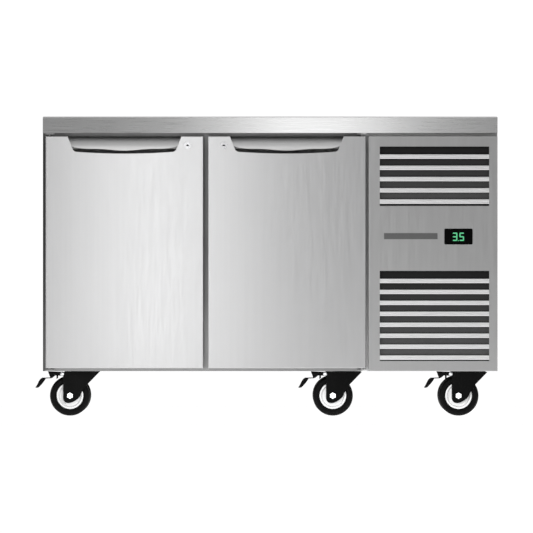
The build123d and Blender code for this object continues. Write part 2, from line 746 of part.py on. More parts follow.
def temperature_controller():
    """A digital thermostat: a bezel with a sunk window on the panel's face, and a body behind it."""
    depth = 50.0
    rim = 1.6
    recess = 0.6
    thickness = 1.0
    front = FACE - thickness
    width, height = DISPLAY_X[1] - DISPLAY_X[0], DISPLAY_Z[1] - DISPLAY_Z[0]
    outline = Pos(sum(DISPLAY_X) / 2, sum(DISPLAY_Z) / 2) * RectangleRounded(width, height, DISPLAY_CORNER)
    bezel = along_y(outline, (front, FACE)) - along_y(offset(outline, -rim), (front - CUT, front + recess))
    x, z = controller_body()
    return bezel + block(x, (FACE, FACE + depth), z)


# ---------------------------------------------------------------- castors
# A castor is drawn with its wheel's centre above X = 0, Y = 0 and the floor at Z = 0.
def castor_mount():
    """The fixed top plate with its upper race and king pin."""
    nut_r = 11.0
    nut = 4.0
    corner = 8.0
    plate_z = (CASTOR_PLATE_TOP - CASTOR_PLATE, CASTOR_PLATE_TOP)
    plate = block(
        (TRAIL - PLATE_LENGTH / 2, TRAIL + PLATE_LENGTH / 2),
        (-PLATE_WIDTH / 2, PLATE_WIDTH / 2),
        plate_z,
    )
    plate = fillet(plate.edges().filter_by(Axis.Z), corner)
    plate += rod_z(TRAIL, 0, (CROWN_TOP + GAP, plate_z[0]), RACE_R)
    plate += rod_z(TRAIL, 0, (CROWN_BOTTOM - GAP, CROWN_TOP + GAP), KING_PIN_R)
    plate += rod_z(TRAIL, 0, (CROWN_BOTTOM - GAP - nut, CROWN_BOTTOM - GAP), nut_r)
    for dx in (-BOLT_X, BOLT_X):
        for dy in (-BOLT_Y, BOLT_Y):
            hole = (plate_z[0] - CUT, plate_z[1] + CUT)
            plate -= rod_z(TRAIL + dx, dy, hole, BOLT_R + GAP)
    return plate


def leg_outline():
    """A fork leg seen along the axle: upright on one side, and slanting to the crown on the other."""
    left = (-20.5, WHEEL_R - 8.0)
    heel = (-12.5, WHEEL_R - 20.5)
    toe = (12.5, WHEEL_R - 17.0)
    slope_foot = (33.0, WHEEL_R + 6.0)
    waist = (50.0, WHEEL_R + 33.0)
    shoulder = (87.0, CROWN_TOP)
    foot = Spline(left, heel, toe, slope_foot)
    rest = Polyline(slope_foot, waist, shoulder, (left[0], CROWN_TOP), left)
    return make_face(Curve() + [foot, rest])


def fork_leg(side):
    """One leg: flat at the front half, bent inwards behind its fold."""
    fold = 11.0
    back = 90.0
    inwards = 5.0
    front = -40.0
    points = [
        (front, LEG_OUTSIDE),
        (fold, LEG_OUTSIDE),
        (back, LEG_OUTSIDE - inwards),
        (back, LEG_OUTSIDE - inwards - LEG_SHEET),
        (fold, LEG_OUTSIDE - LEG_SHEET),
        (front, LEG_OUTSIDE - LEG_SHEET),
    ]
    plan = polygon(*[(x, side * y) for x, y in points])
    plate = along_z(plan, (0, CROWN_TOP + CUT))
    return plate & along_y(leg_outline(), (-LEG_OUTSIDE - CUT, LEG_OUTSIDE + CUT))


def castor_fork(braked):
    """The swivelling yoke with its lower race, and the axle bolt through it."""
    seat_r = 44.0
    cup_wall = 3.0
    cup_top = 141.0
    ear_r = 6.5
    crown_end = -12.0
    crown_z = (CROWN_BOTTOM, CROWN_TOP)
    yoke = rod_z(TRAIL, 0, crown_z, seat_r)
    yoke += block((crown_end, TRAIL), (-LEG_OUTSIDE + LEG_SHEET, LEG_OUTSIDE - LEG_SHEET), crown_z)
    yoke += rod_z(TRAIL, 0, (CROWN_TOP, cup_top), RACE_R + GAP + cup_wall)
    yoke -= rod_z(TRAIL, 0, (CROWN_TOP, cup_top + CUT), RACE_R + GAP)
    yoke -= rod_z(TRAIL, 0, (CROWN_BOTTOM - CUT, CROWN_TOP + CUT), KING_PIN_R + HINGE_CLEARANCE)
    for side in (-1, 1):
        yoke += fork_leg(side)
        if braked:
            inner = LEG_OUTSIDE - LEG_SHEET
            y = sorted((side * inner, side * LEG_OUTSIDE))
            yoke += rod_y(BRAKE_X, y, BRAKE_Z, ear_r)
            yoke += block((BRAKE_X, BRAKE_X + ear_r), y, (BRAKE_Z - ear_r, CROWN_TOP))
    if braked:
        yoke += rod_y(BRAKE_X, (-LEG_OUTSIDE, LEG_OUTSIDE), BRAKE_Z, HINGE_PIN_R)
    yoke -= rod_y(0, (-LEG_OUTSIDE - CUT, LEG_OUTSIDE + CUT), WHEEL_R, AXLE_R)
    return [yoke, castor_axle()]


def castor_axle():
    """The hexagon-headed axle bolt with its nut and spacers."""
    flats = 17.0
    head = 7.0
    spacer_r = 9.0
    bolt = rod_y(0, (-LEG_OUTSIDE, LEG_OUTSIDE), WHEEL_R, AXLE_R)
    prism = Rot(90, 0, 0) * hexagon_prism(flats, head)
    bolt += Pos(0, -LEG_OUTSIDE, WHEEL_R) * prism
    bolt += Pos(0, LEG_OUTSIDE + head, WHEEL_R) * prism
    inner = LEG_OUTSIDE - LEG_SHEET
    for side in (-1, 1):
        y = sorted((side * (HUB_WIDTH / 2 + GAP), side * inner))
        bolt += rod_y(0, y, WHEEL_R, spacer_r)
    return bolt


def wheel_hub():
    """A moulded hub: rim, web and boss."""
    rim_half = 13.0
    rim_inner = 34.0
    web_half = 5.0
    boss_r = 14.0
    profile = polygon(
        (AXLE_R + HINGE_CLEARANCE, -HUB_WIDTH / 2),
        (boss_r, -HUB_WIDTH / 2),
        (boss_r + 2.0, -web_half),
        (rim_inner, -web_half),
        (rim_inner + 1.0, -rim_half),
        (RIM_R, -rim_half),
        (RIM_R, rim_half),
        (rim_inner + 1.0, rim_half),
        (rim_inner, web_half),
        (boss_r + 2.0, web_half),
        (boss_r, HUB_WIDTH / 2),
        (AXLE_R + HINGE_CLEARANCE, HUB_WIDTH / 2),
    )
    return turned(profile)


def wheel_tyre():
    """A rubber tyre with rounded shoulders."""
    half = TYRE_WIDTH / 2
    shoulder = 7.0
    outline = polygon((RIM_R, -half), (WHEEL_R, -half), (WHEEL_R, half), (RIM_R, half))
    outer = outline.vertices().group_by(Axis.X)[-1]
    return turned(fillet(outer, shoulder))


def turned(profile):
    """Turns a profile, drawn as radius and distance along the axle, about the wheel's axle."""
    upright = Plane(origin=(0, 0, WHEEL_R), x_dir=(0, 0, 1), z_dir=(1, 0, 0)) * profile
    return revolve(upright, Axis((0, 0, WHEEL_R), (0, 1, 0)))


def brake_pedal():
    """The pedal that pivots in the fork: a bracket with a brake shoe, and a curved foot paddle."""
    half = LEG_OUTSIDE - LEG_SHEET - GAP
    foot_half = 18.0
    shoe_half = 12.0
    boss_r = 6.0
    wheel_top = 2 * WHEEL_R
    bracket = polygon(
        (BRAKE_X, BRAKE_Z + boss_r),
        (-66.0, wheel_top + 12.9),
        (-59.0, wheel_top - 6.0),
        (-53.0, wheel_top - 7.0),
        (-44.0, wheel_top + 0.5),
        (BRAKE_X, BRAKE_Z - boss_r),
    )
    shoe = polygon(
        (-40.5, wheel_top + 1.0),
        (-40.5, wheel_top - 10.0),
        (-35.5, wheel_top - 7.0),
        (-35.5, wheel_top + 1.0),
    )
    arm = polygon(
        (-56.0, wheel_top - 5.5),
        (-84.0, wheel_top - 6.0),
        (-84.0, wheel_top - 9.0),
        (-55.0, wheel_top - 8.0),
    )
    pedal = along_y(bracket, (-half, half)) + rod_y(BRAKE_X, (-half, half), BRAKE_Z, boss_r)
    pedal += along_y(shoe, (-shoe_half, shoe_half))
    pedal += along_y(arm, (-foot_half, foot_half))
    pedal += along_y(paddle_outline(), (-foot_half, foot_half))
    return pedal - rod_y(BRAKE_X, (-half - CUT, half + CUT), BRAKE_Z, HINGE_PIN_R + HINGE_CLEARANCE)


def paddle_outline():
    """The thick curved end of a brake pedal, in section."""
    start = (-77.0, WHEEL_R + 54.0)
    tip = (-PEDAL_REACH, WHEEL_R + 25.0)
    tip_end = (-90.5, WHEEL_R + 28.0)
    end = (-72.5, WHEEL_R + 51.0)
    top = Spline(start, (-87.5, WHEEL_R + 51.0), (-95.0, WHEEL_R + 40.0), tip)
    nose = ThreePointArc(tip, (-98.5, WHEEL_R + 23.6), tip_end)
    under = Spline(tip_end, (-81.0, WHEEL_R + 38.5), end)
    return make_face(Curve() + [top, nose, under, Line(end, start)])


def castor_bolts():
    """Hexagon-headed bolts that hold the castor plates to the base pan."""
    flats = 13.0
    head = 5.3
    shank = (CASTOR_PLATE_TOP - CASTOR_PLATE, PAN_TOP + 11.0)
    bolts = []
    for x, y in castor_bolt_places():
        bolt = rod_z(x, y, shank, BOLT_R)
        bolts.append(bolt + Pos(x, y, shank[0] - head) * hexagon_prism(flats, head))
    return bolts


# ---------------------------------------------------------------- machinery
def fan_blades(radius, hub_r, width, count):
    """A fan about the Z axis: a bored hub with twisted blades, from Z = 0 to Z = width."""
    sheet = 1.6
    twist = 32.0
    chord = radius * 0.62
    lift = (Align.CENTER, Align.CENTER, Align.MIN)
    reach = radius - hub_r / 2
    fan = Cylinder(hub_r, width, align=lift)
    for i in range(count):
        blade = Pos(radius - reach / 2, 0, width / 2) * Rot(twist, 0, 0) * Box(reach, chord, sheet)
        blade = blade & Cylinder(radius, width, align=lift)
        fan += Rot(0, 0, i * 360 / count) * blade
    return fan - Pos(0, 0, -CUT) * Cylinder(SHAFT_R + FAN_CLEARANCE, width + 2 * CUT, align=lift)


def condenser_fan():
    """The fan that draws air through the condenser."""
    fan = fan_blades(CONDENSER_FAN_R, 28.0, CONDENSER_FAN_Y[1] - CONDENSER_FAN_Y[0], 5)
    return Pos(CONDENSER_FAN[0], CONDENSER_FAN_Y[1], CONDENSER_FAN[1]) * Rot(90, 0, 0) * fan


def evaporator_fan():
    """The fan that moves air through the evaporator."""
    fan = fan_blades(EVAPORATOR_FAN_R, 22.0, EVAPORATOR_FAN_X[1] - EVAPORATOR_FAN_X[0], 5)
    return Pos(EVAPORATOR_FAN_X[0], EVAPORATOR_FAN[0], EVAPORATOR_FAN[1]) * Rot(0, 90, 0) * fan


def fan_motors():
    """Both fan motors with their shafts and the struts that hold them."""
    condenser_motor_r = 32.0
    evaporator_motor_r = 25.6
    lengths = (56.0, 46.0)
    space = 4.0  # between a fan and its motor
    strut = 9.0
    x, z = CONDENSER_FAN
    y = (CONDENSER_FAN_Y[1] + space, CONDENSER_FAN_Y[1] + space + lengths[0])
    condenser_motor = rod_y(x, y, z, condenser_motor_r)
    condenser_motor += rod_y(x, (CONDENSER_FAN_Y[0], y[0]), z, SHAFT_R)
    condenser_motor += block((x - strut, x + strut), (y[0] + strut, y[0] + 2 * strut), (PAN_TOP, z))
    y, z = EVAPORATOR_FAN
    x = (EVAPORATOR_FAN_X[1] + space, EVAPORATOR_FAN_X[1] + space + lengths[1])
    evaporator_motor = rod_x(x, y, z, evaporator_motor_r)
    evaporator_motor += rod_x((EVAPORATOR_FAN_X[0], x[0]), y, z, SHAFT_R)
    wall = INSIDE_RIGHT - THIN_SHEET
    evaporator_motor += block((x[0] + strut, wall), (y - strut, y + strut), (z - strut, z + strut))
    return [condenser_motor, evaporator_motor]


def fin_pack(length, depth, height, fins):
    """Upright fins along X on a thin back, joined at both ends by thicker plates."""
    fin = 1.0
    back = 2.0
    end = 3.0
    pitch = (length - fin) / (fins - 1)
    points = [(0.0, depth), (0.0, 0.0), (fin, 0.0)]
    for i in range(1, fins):
        x = i * pitch
        points += [(x - pitch + fin, depth - back), (x, depth - back), (x, 0.0), (x + fin, 0.0)]
    points.append((length, depth))
    pack = along_z(polygon(*points), (0, height))
    for x in (0.0, length):
        pack += block((x - end / 2, x + end / 2), (0, depth), (0, height))
    return pack


def condenser():
    """The finned condenser behind the lower grille, with return bends and its fan shroud."""
    x, y, z = CONDENSER_X, CONDENSER_Y, CONDENSER_Z
    coil = Pos(x[0], y[0], z[0]) * fin_pack(x[1] - x[0], y[1] - y[0], z[1] - z[0], 32)
    return coil + return_bends() + condenser_shroud()


def return_bends():
    """The bends at the condenser's right-hand end."""
    tube_r = 5.0
    rows = 5
    out = CONDENSER_X[1] + 8.0
    middle = sum(CONDENSER_Y) / 2
    pitch = (CONDENSER_Z[1] - CONDENSER_Z[0]) / (2 * rows)
    bends = Part()
    for i in range(rows):
        low = CONDENSER_Z[0] + pitch * (2 * i + 0.5)
        bends += rod_x((CONDENSER_X[1], out), middle, low, tube_r)
        bends += rod_x((CONDENSER_X[1], out), middle, low + pitch, tube_r)
        bends += rod_z(out - tube_r, middle, (low, low + pitch), tube_r)
    return bends


def condenser_shroud():
    """The sheet box that leads air from the condenser to its fan, on two feet."""
    wall = 1.5
    foot = 20.0
    x, z = CONDENSER_X, CONDENSER_Z
    y = (CONDENSER_Y[1], CONDENSER_FAN_Y[0] + 10.0)
    shroud = block(x, y, z)
    shroud -= block((x[0] + wall, x[1] - wall), (y[0] - CUT, y[1] - wall), (z[0] + wall, z[1] - wall))
    shroud -= rod_y(CONDENSER_FAN[0], (y[0], y[1] + CUT), CONDENSER_FAN[1], CONDENSER_FAN_R + FAN_RIM)
    shroud += block((x[0], x[0] + foot), y, (PAN_TOP, z[0]))
    return shroud + block((x[1] - 3 * foot, x[1] - 2 * foot), y, (PAN_TOP, z[0]))


def compressor_pot():
    """The outside of the compressor's shell, as a solid."""
    dome = 40.0
    pot = rod_z(*COMPRESSOR, COMPRESSOR_Z, COMPRESSOR_R)
    return fillet(pot.edges().filter_by(GeomType.CIRCLE), dome)


def compressor():
    """A hermetic compressor: a thick welded shell with domed ends on a foot plate."""
    wall = 5.0
    plate_half = (105.0, 75.0)
    foot_place = (90.0, 60.0)
    foot_r = 11.0
    foot_height = 14.0
    plate_top = COMPRESSOR_Z[0] + 6.0
    relay_y = 28.0
    relay_z = (COMPRESSOR_Z[0] + 60.0, COMPRESSOR_Z[0] + 120.0)
    x, y = COMPRESSOR
    pot = compressor_pot()
    plate_x = (x - plate_half[0], x + plate_half[0])
    plate_y = (y - plate_half[1], y + plate_half[1])
    base = block(plate_x, plate_y, (PAN_TOP + foot_height, plate_top))
    for dx in (-foot_place[0], foot_place[0]):
        for dy in (-foot_place[1], foot_place[1]):
            base += rod_z(x + dx, y + dy, (PAN_TOP, PAN_TOP + foot_height), foot_r)
    relay_x = (x + COMPRESSOR_R - 12.0, x + COMPRESSOR_R + 22.0)
    relay = block(relay_x, (y - relay_y, y + relay_y), relay_z)
    return pot - offset(pot, -wall) + (base - pot) + (relay - pot)


def refrigerant_pipes():
    """Discharge, suction and liquid lines."""
    bend = 16.0
    x, y = COMPRESSOR
    middle = sum(CONDENSER_Y) / 2
    out = CONDENSER_X[1] + 9.0
    start = INSIDE_RIGHT - 10.0
    discharge_x = x - 40.0
    discharge_y = y - 130.0
    discharge_z = PAN_TOP + 150.0
    crossing_z = 470.0
    discharge = [
        (discharge_x, y - COMPRESSOR_R + 8.0, discharge_z),
        (discharge_x, discharge_y, discharge_z),
        (discharge_x, discharge_y, crossing_z),
        (out, discharge_y, crossing_z),
        (out, middle, crossing_z),
        (out, middle, CONDENSER_Z[1] - 20.0),
    ]
    suction_x = 450.0
    suction_z = 250.0
    suction = [
        (start, *SUCTION_PORT),
        (suction_x, *SUCTION_PORT),
        (suction_x, SUCTION_PORT[0], suction_z),
        (x - COMPRESSOR_R + 6.0, SUCTION_PORT[0], suction_z),
    ]
    liquid_x = 425.0
    liquid_z = 200.0
    liquid = [
        (start, *LIQUID_PORT),
        (liquid_x, *LIQUID_PORT),
        (liquid_x, LIQUID_PORT[0], liquid_z),
        (liquid_x, y - 150.0, liquid_z),
        (out, y - 150.0, liquid_z),
        (out, middle, liquid_z),
        (out, middle, CONDENSER_Z[0] + 6.0),
    ]
    pot = compressor_pot()
    coil = condenser()
    return [
        tube(discharge, bend, 4.0) - pot - coil,
        tube(suction, bend, 6.0) - pot,
        tube(liquid, bend, 3.0) - coil,
    ]


def evaporator_coil():
    """The finned evaporator behind the duct cover, on two brackets."""
    x = (262.0, 334.0)
    y = (80.0, 280.0)
    z = (470.0, 620.0)
    bracket = 6.0
    bracket_z = (z[1] - 30.0, z[1] - 10.0)
    coil = Pos(x[1], y[0], z[0]) * Rot(0, 0, 90) * fin_pack(y[1] - y[0], x[1] - x[0], z[1] - z[0], 20)
    for place in (y[0] + 10.0, y[1] - 10.0):
        bracket_y = (place - bracket, place + bracket)
        coil += block((x[1] - 2.0, INSIDE_RIGHT - THIN_SHEET), bracket_y, bracket_z)
    return coil


def evaporator_cover():
    """The duct panel between the storage space and the evaporator, with fan and return openings."""
    flange = 22.0
    collar_depth = 14.0
    slots = 7
    slot_length = 220.0
    slot_height = 9.0
    slot_pitch = 22.0
    lowest_slot = (120.0, 250.0)
    fan_r = EVAPORATOR_FAN_R + FAN_RIM
    x = (COVER_X, COVER_X + SHEET)
    y = (POST_BACK + 2.0, INSIDE_BACK - THIN_SHEET)
    z = (FLOOR_IN + THIN_SHEET, CEILING_IN - THIN_SHEET)
    through = (x[0] - CUT, x[1] + CUT)
    panel = block(x, y, z) + block((x[0], x[0] + flange), y, (z[1] - SHEET, z[1]))
    panel -= rod_x(through, *EVAPORATOR_FAN, fan_r)
    for i in range(slots):
        place = Pos(lowest_slot[0], lowest_slot[1] + i * slot_pitch)
        panel -= along_x(place * SlotOverall(slot_length, slot_height), through)
    collar_x = (x[1], EVAPORATOR_FAN_X[0] + collar_depth)
    collar = rod_x(collar_x, *EVAPORATOR_FAN, fan_r + SHEET)
    collar -= rod_x((collar_x[0] - CUT, collar_x[1] + CUT), *EVAPORATOR_FAN, fan_r)
    return panel + collar


def control_box():
    """The electrical box on the rear wall, with a recessed mains inlet."""
    clear = 1.0  # round the inlet in the rear wall's cut-out
    rim = 3.0
    depth = 18.0
    pin = (1.0, 2.0)  # half width and half height
    pin_y = (BACK - depth - 1.0, BACK - 4.0)
    box = block((470.0, 640.0), (250.0, BACK - SHEET), (600.0, 760.0))
    box += block(
        (INLET_X[0] + clear, INLET_X[1] - clear),
        (BACK - SHEET - CUT, BACK),
        (INLET_Z[0] + clear, INLET_Z[1] - clear),
    )
    box -= block(
        (INLET_X[0] + rim, INLET_X[1] - rim),
        (BACK - depth, BACK + CUT),
        (INLET_Z[0] + rim, INLET_Z[1] - rim),
    )
    for dx, dz in ((-7.0, -1.5), (0.0, 2.5), (7.0, -1.5)):
        x = sum(INLET_X) / 2 + dx
        z = sum(INLET_Z) / 2 + dz
        box += block((x - pin[0], x + pin[0]), pin_y, (z - pin[1], z + pin[1]))
    return box


def drip_tray():
    """The tray, on two rails, in which melt water evaporates."""
    wall = 1.5
    rail = 8.0
    lift = 14.0
    depth = 30.0
    x = (422.0, 658.0)
    y = (205.0, 330.0)
    z = (PAN_TOP + lift, PAN_TOP + lift + depth)
    tray = block(x, y, z)
    tray -= block((x[0] + wall, x[1] - wall), (y[0] + wall, y[1] - wall), (z[0] + wall, z[1] + CUT))
    tray += block((x[0], x[0] + rail), y, (PAN_TOP, z[0]))
    return tray + block((x[1] - rail, x[1]), y, (PAN_TOP, z[0]))


# ---------------------------------------------------------------- shelves
def shelf_bays():
    """The X spans between the upright strips of each bay."""
    left, right = opening_spans()
    middle = (left[1] + right[0]) / 2
    inside_left = LEFT + SHEET + WALL + THIN_SHEET
    return ((inside_left, middle - STRIP_DEPTH / 2), (middle + STRIP_DEPTH / 2, COVER_X))


def shelf_supports():
    """Slotted upright strips, floor to ceiling, with an angle runner each side of each shelf."""
    pieces = []
    for bay in shelf_bays():
        for x, inwards in ((bay[0], 1), (bay[1], -1)):
            pieces += [shelf_strip(x, inwards, y) for y in (STRIP_FRONT_Y, STRIP_REAR_Y)]
            pieces.append(shelf_runner(x + inwards * STRIP_DEPTH, inwards))
    return pieces


def shelf_strip(x, inwards, y):
    """One upright channel whose back is at x, with slots for the shelf hooks."""
    wall = 1.5
    slot_pitch = 50.0
    slot_half = 4.0
    slot_height = 4.0
    half = STRIP_WIDTH / 2
    z = (FLOOR_IN + THIN_SHEET, CEILING_IN - THIN_SHEET)
    span = sorted((x, x + inwards * STRIP_DEPTH))
    hollow = sorted((x - inwards * CUT, x + inwards * (STRIP_DEPTH - wall)))
    strip = block(span, (y - half, y + half), z)
    strip -= block(hollow, (y - half + wall, y + half - wall), (z[0] - CUT, z[1] + CUT))
    slots = int((z[1] - z[0]) / slot_pitch) - 1
    for i in range(1, slots + 1):
        level = z[0] + i * slot_pitch
        across = (span[0] - CUT, span[1] + CUT)
        strip -= block(across, (y - slot_half, y + slot_half), (level, level + slot_height))
    return strip


def shelf_runner(edge, inwards):
    """An angle from the front strip to the rear one, with its upright side at x = edge."""
    wall = 1.5
    foot = 18.0
    height = 12.0
    run = (STRIP_FRONT_Y - STRIP_WIDTH / 2, STRIP_REAR_Y + STRIP_WIDTH / 2)
    upright = sorted((edge, edge + inwards * wall))
    runner = block(upright, run, (SHELF_Z - wall, SHELF_Z + height))
    return runner + block(sorted((edge, edge + inwards * foot)), run, (SHELF_Z - wall, SHELF_Z))


def wire_shelf(bay):
    """A welded wire shelf that lies on two runners: a bent round frame, a cross bar and the wires."""
    gap = 3.0
    x = (bay[0] + STRIP_DEPTH + gap + SHELF_FRAME_R, bay[1] - STRIP_DEPTH - gap - SHELF_FRAME_R)
    z = SHELF_Z + SHELF_FRAME_R
    corners = [(x[0], SHELF_Y[0], z), (x[1], SHELF_Y[0], z), (x[1], SHELF_Y[1], z), (x[0], SHELF_Y[1], z)]
    path = FilletPolyline(*corners, radius=SHELF_BEND, close=True)
    shelf = sweep(Plane(origin=path @ 0, z_dir=path % 0) * Circle(SHELF_FRAME_R), path=path)
    shelf += rod_x(x, sum(SHELF_Y) / 2, z, SHELF_FRAME_R - GAP)
    count = int((x[1] - x[0]) / SHELF_PITCH)
    step = (x[1] - x[0]) / count
    wires_y = (SHELF_Y[0] - SHELF_WIRE_R, SHELF_Y[1] + SHELF_WIRE_R)
    for i in range(1, count):
        shelf += rod_y(x[0] + i * step, wires_y, z + SHELF_FRAME_R - SHELF_SINK, SHELF_WIRE_R)
    return shelf


# ---------------------------------------------------------------- writing
def write_cabinet():
    save("worktop", worktop())
    save("outer_casing", outer_casing())
    save("cabinet_insulation", *cabinet_insulation())
    save("inner_liner", inner_liner())
    save("front_frame", front_frame())
    save("hinge_brackets", *hinge_brackets())
    save("shelf_supports", *shelf_supports())
    for side, bay in zip(("left", "right"), shelf_bays()):
        save(f"shelf_{side}", wire_shelf(bay))


def write_doors():
    for side in ("left", "right"):
        save(f"door_skin_{side}", place_door(door_skin(), side))
        save(f"door_foam_{side}", place_door(door_foam(), side))
        save(f"door_inner_panel_{side}", place_door(door_inner_panel(), side))
        save(f"door_gasket_{side}", place_door(door_gasket(), side))
        save(f"door_handle_{side}", place_door(door_handle(), side))
        save(f"lock_barrel_{side}", place_door(lock_barrel(), side))
        save(f"lock_cam_{side}", place_door(lock_cam(), side))


def write_machine():
    save("machine_front_panel", machine_front_panel())
    save("louvre_bars", *louvre_bars())
    save("air_filters", *air_filters())
    save("temperature_controller", temperature_controller())
    save("compressor", compressor())
    save("condenser", condenser())
    save("condenser_fan", condenser_fan())
    save("fan_motors", *fan_motors())
    save("refrigerant_pipes", *refrigerant_pipes())
    save("evaporator_coil", evaporator_coil())
    save("evaporator_cover", evaporator_cover())
    save("evaporator_fan", evaporator_fan())
    save("control_box", control_box())
    save("drip_tray", drip_tray())


def write_castors():
    mounts = []
    for number, (x, y, braked) in enumerate(castor_centres(), start=1):
        place = Pos(x, y, 0)
        mounts.append(place * castor_mount())
        save(f"castor_fork_{number}", *[place * piece for piece in castor_fork(braked)])
        save(f"castor_hub_{number}", place * wheel_hub())
        save(f"castor_tyre_{number}", place * wheel_tyre())
        if braked:
            save(f"brake_pedal_{number}", place * brake_pedal())
    save("castor_mounts", *mounts)
    save("castor_bolts", *castor_bolts())


os.makedirs("parts", exist_ok=True)
write_cabinet()
write_doors()
write_machine()
write_castors()
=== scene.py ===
import json
import math

import bmesh
import bpy
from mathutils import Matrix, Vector


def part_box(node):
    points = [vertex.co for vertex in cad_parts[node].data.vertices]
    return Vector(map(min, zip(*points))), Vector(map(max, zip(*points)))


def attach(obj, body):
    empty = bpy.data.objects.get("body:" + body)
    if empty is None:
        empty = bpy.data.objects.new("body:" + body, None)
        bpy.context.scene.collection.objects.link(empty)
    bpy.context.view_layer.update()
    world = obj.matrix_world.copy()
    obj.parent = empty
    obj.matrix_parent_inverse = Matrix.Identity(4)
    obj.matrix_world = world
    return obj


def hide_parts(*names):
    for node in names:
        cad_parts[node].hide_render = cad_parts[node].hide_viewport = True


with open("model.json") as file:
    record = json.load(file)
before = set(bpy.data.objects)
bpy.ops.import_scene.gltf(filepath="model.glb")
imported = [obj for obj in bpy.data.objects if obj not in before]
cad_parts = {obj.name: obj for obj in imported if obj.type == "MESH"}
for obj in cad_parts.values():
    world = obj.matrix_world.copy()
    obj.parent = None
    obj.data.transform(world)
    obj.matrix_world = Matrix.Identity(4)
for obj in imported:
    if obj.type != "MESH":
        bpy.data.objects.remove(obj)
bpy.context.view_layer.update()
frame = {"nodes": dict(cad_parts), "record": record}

# Undercounter refrigerator: the looks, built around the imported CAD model. Everything is in metres.

MM = 0.001


# ---------------------------------------------------------------- places read from the frame
def middle(node):
    """The centre of a CAD node's box."""
    low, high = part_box(node)
    return (low + high) / 2


CABINET_X = middle("worktop").x
FRONT_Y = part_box("worktop")[0].y  # the worktop's edge, the foremost plane
FACE_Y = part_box("machine_front_panel")[0].y
TOP_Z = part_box("worktop")[1].z
SIDES = ("left", "right")
CASTORS = range(1, 7)
BRAKED = range(1, 4)
WHEEL_Z = middle("castor_tyre_1").z
BRAKE_PIVOT = (-0.0234, 0.1255)  # across from the wheel's centre, and above the floor

# ---------------------------------------------------------------- camera
VIEW_WIDTH = 1.5937  # what the picture holds across, at the worktop's edge
LENS = 1700.0  # mm
SENSOR = 36.0  # mm
VIEW_DISTANCE = VIEW_WIDTH * LENS / SENSOR
VIEW_LEFT_OF_MIDDLE = 0.0109
VIEW_BELOW_HALF_HEIGHT = 0.0008
CLIP_NEAR, CLIP_FAR = 1.0, 400.0


def make_camera():
    """A long lens, level with the middle of the cabinet and square to its doors."""
    data = bpy.data.cameras.new("camera")
    data.lens = LENS
    data.sensor_width = SENSOR
    data.clip_start = CLIP_NEAR
    data.clip_end = CLIP_FAR
    camera = bpy.data.objects.new("camera", data)
    bpy.context.collection.objects.link(camera)
    camera.location = (
        CABINET_X - VIEW_LEFT_OF_MIDDLE,
        FRONT_Y - VIEW_DISTANCE,
        TOP_Z / 2 - VIEW_BELOW_HALF_HEIGHT,
    )
    camera.rotation_euler = (math.radians(90), 0, 0)
    bpy.context.scene.camera = camera


# ---------------------------------------------------------------- studio
WHITE = (1, 1, 1, 1)
STUDIO_GREY = 0.25  # strength of the room that lights the object and shows in its steel
BACKDROP_WHITE = 1.05
FLOOR_RADIUS = 5.0
FLOOR_SIDES = 96
FLOOR_GREY = 0.9
FLOOR_GLOW = 0.75  # lifts the floor to the backdrop's white
HALF_WAY_UP = (0, 0, TOP_Z / 2)
FRONT_LIGHT_Y = -1.95
KEY_X, KEY_Z = CABINET_X - 0.35, 0.8
STRIP_X, STRIP_Z = CABINET_X + 0.12, 0.87

# Each light: name, place, the point it faces, width, height, watts
KEY = ("key", (KEY_X, FRONT_LIGHT_Y, KEY_Z), (KEY_X, 0, KEY_Z), 0.35, 1.6, 4.0)
EDGE_STRIP = (
    "edge_strip", (STRIP_X, FRONT_LIGHT_Y, STRIP_Z), (STRIP_X, 0, STRIP_Z), 0.42, 1.0, 2.8,
)
HUB_FILL = ("hub_fill", (0, -1.9, 0.3), (0, FACE_Y, WHEEL_Z), 1.8, 0.5, 20.0)
ROOM_LIGHTS = (
    ("front_high", (0, -2.4, 2.1), (0, FACE_Y, 0.75), 2.6, 1.2, 10.0),
    ("top", (0.3, -0.6, 3.2), (0, 0, 0.4), 2.4, 2.0, 12.0),
    ("left_side", (-3.4, -0.6, 1.0), HALF_WAY_UP, 1.6, 1.8, 8.0),
    ("right_side", (3.4, 0.4, 1.0), HALF_WAY_UP, 1.6, 1.8, 8.0),
    ("rear", (0.4, 3.4, 1.2), HALF_WAY_UP, 2.2, 1.8, 10.0),
)


def make_world():
    """A white backdrop for the camera, and an even grey room for light and reflections."""
    world = bpy.data.worlds.new("studio")
    bpy.context.scene.world = world
    world.use_nodes = True
    nodes = world.node_tree.nodes
    links = world.node_tree.links
    nodes.clear()
    backdrop = nodes.new("ShaderNodeBackground")
    backdrop.inputs["Color"].default_value = WHITE
    backdrop.inputs["Strength"].default_value = BACKDROP_WHITE
    room = nodes.new("ShaderNodeBackground")
    room.inputs["Color"].default_value = WHITE
    room.inputs["Strength"].default_value = STUDIO_GREY
    rays = nodes.new("ShaderNodeLightPath")
    mix = nodes.new("ShaderNodeMixShader")
    output = nodes.new("ShaderNodeOutputWorld")
    links.new(rays.outputs["Is Camera Ray"], mix.inputs["Fac"])
    links.new(room.outputs["Background"], mix.inputs[1])
    links.new(backdrop.outputs["Background"], mix.inputs[2])
    links.new(mix.outputs["Shader"], output.inputs["Surface"])


def softbox(name, centre, aim, width, height, power):
    """A rectangular studio light that faces a point and stays out of the picture."""
    data = bpy.data.lights.new(name, "AREA")
    data.shape = "RECTANGLE"
    data.size = width
    data.size_y = height
    data.energy = power
    light = bpy.data.objects.new(name, data)
    bpy.context.collection.objects.link(light)
    light.location = centre
    light.rotation_euler = (Vector(aim) - Vector(centre)).to_track_quat("-Z", "Y").to_euler()
    light.visible_camera = False
    return light


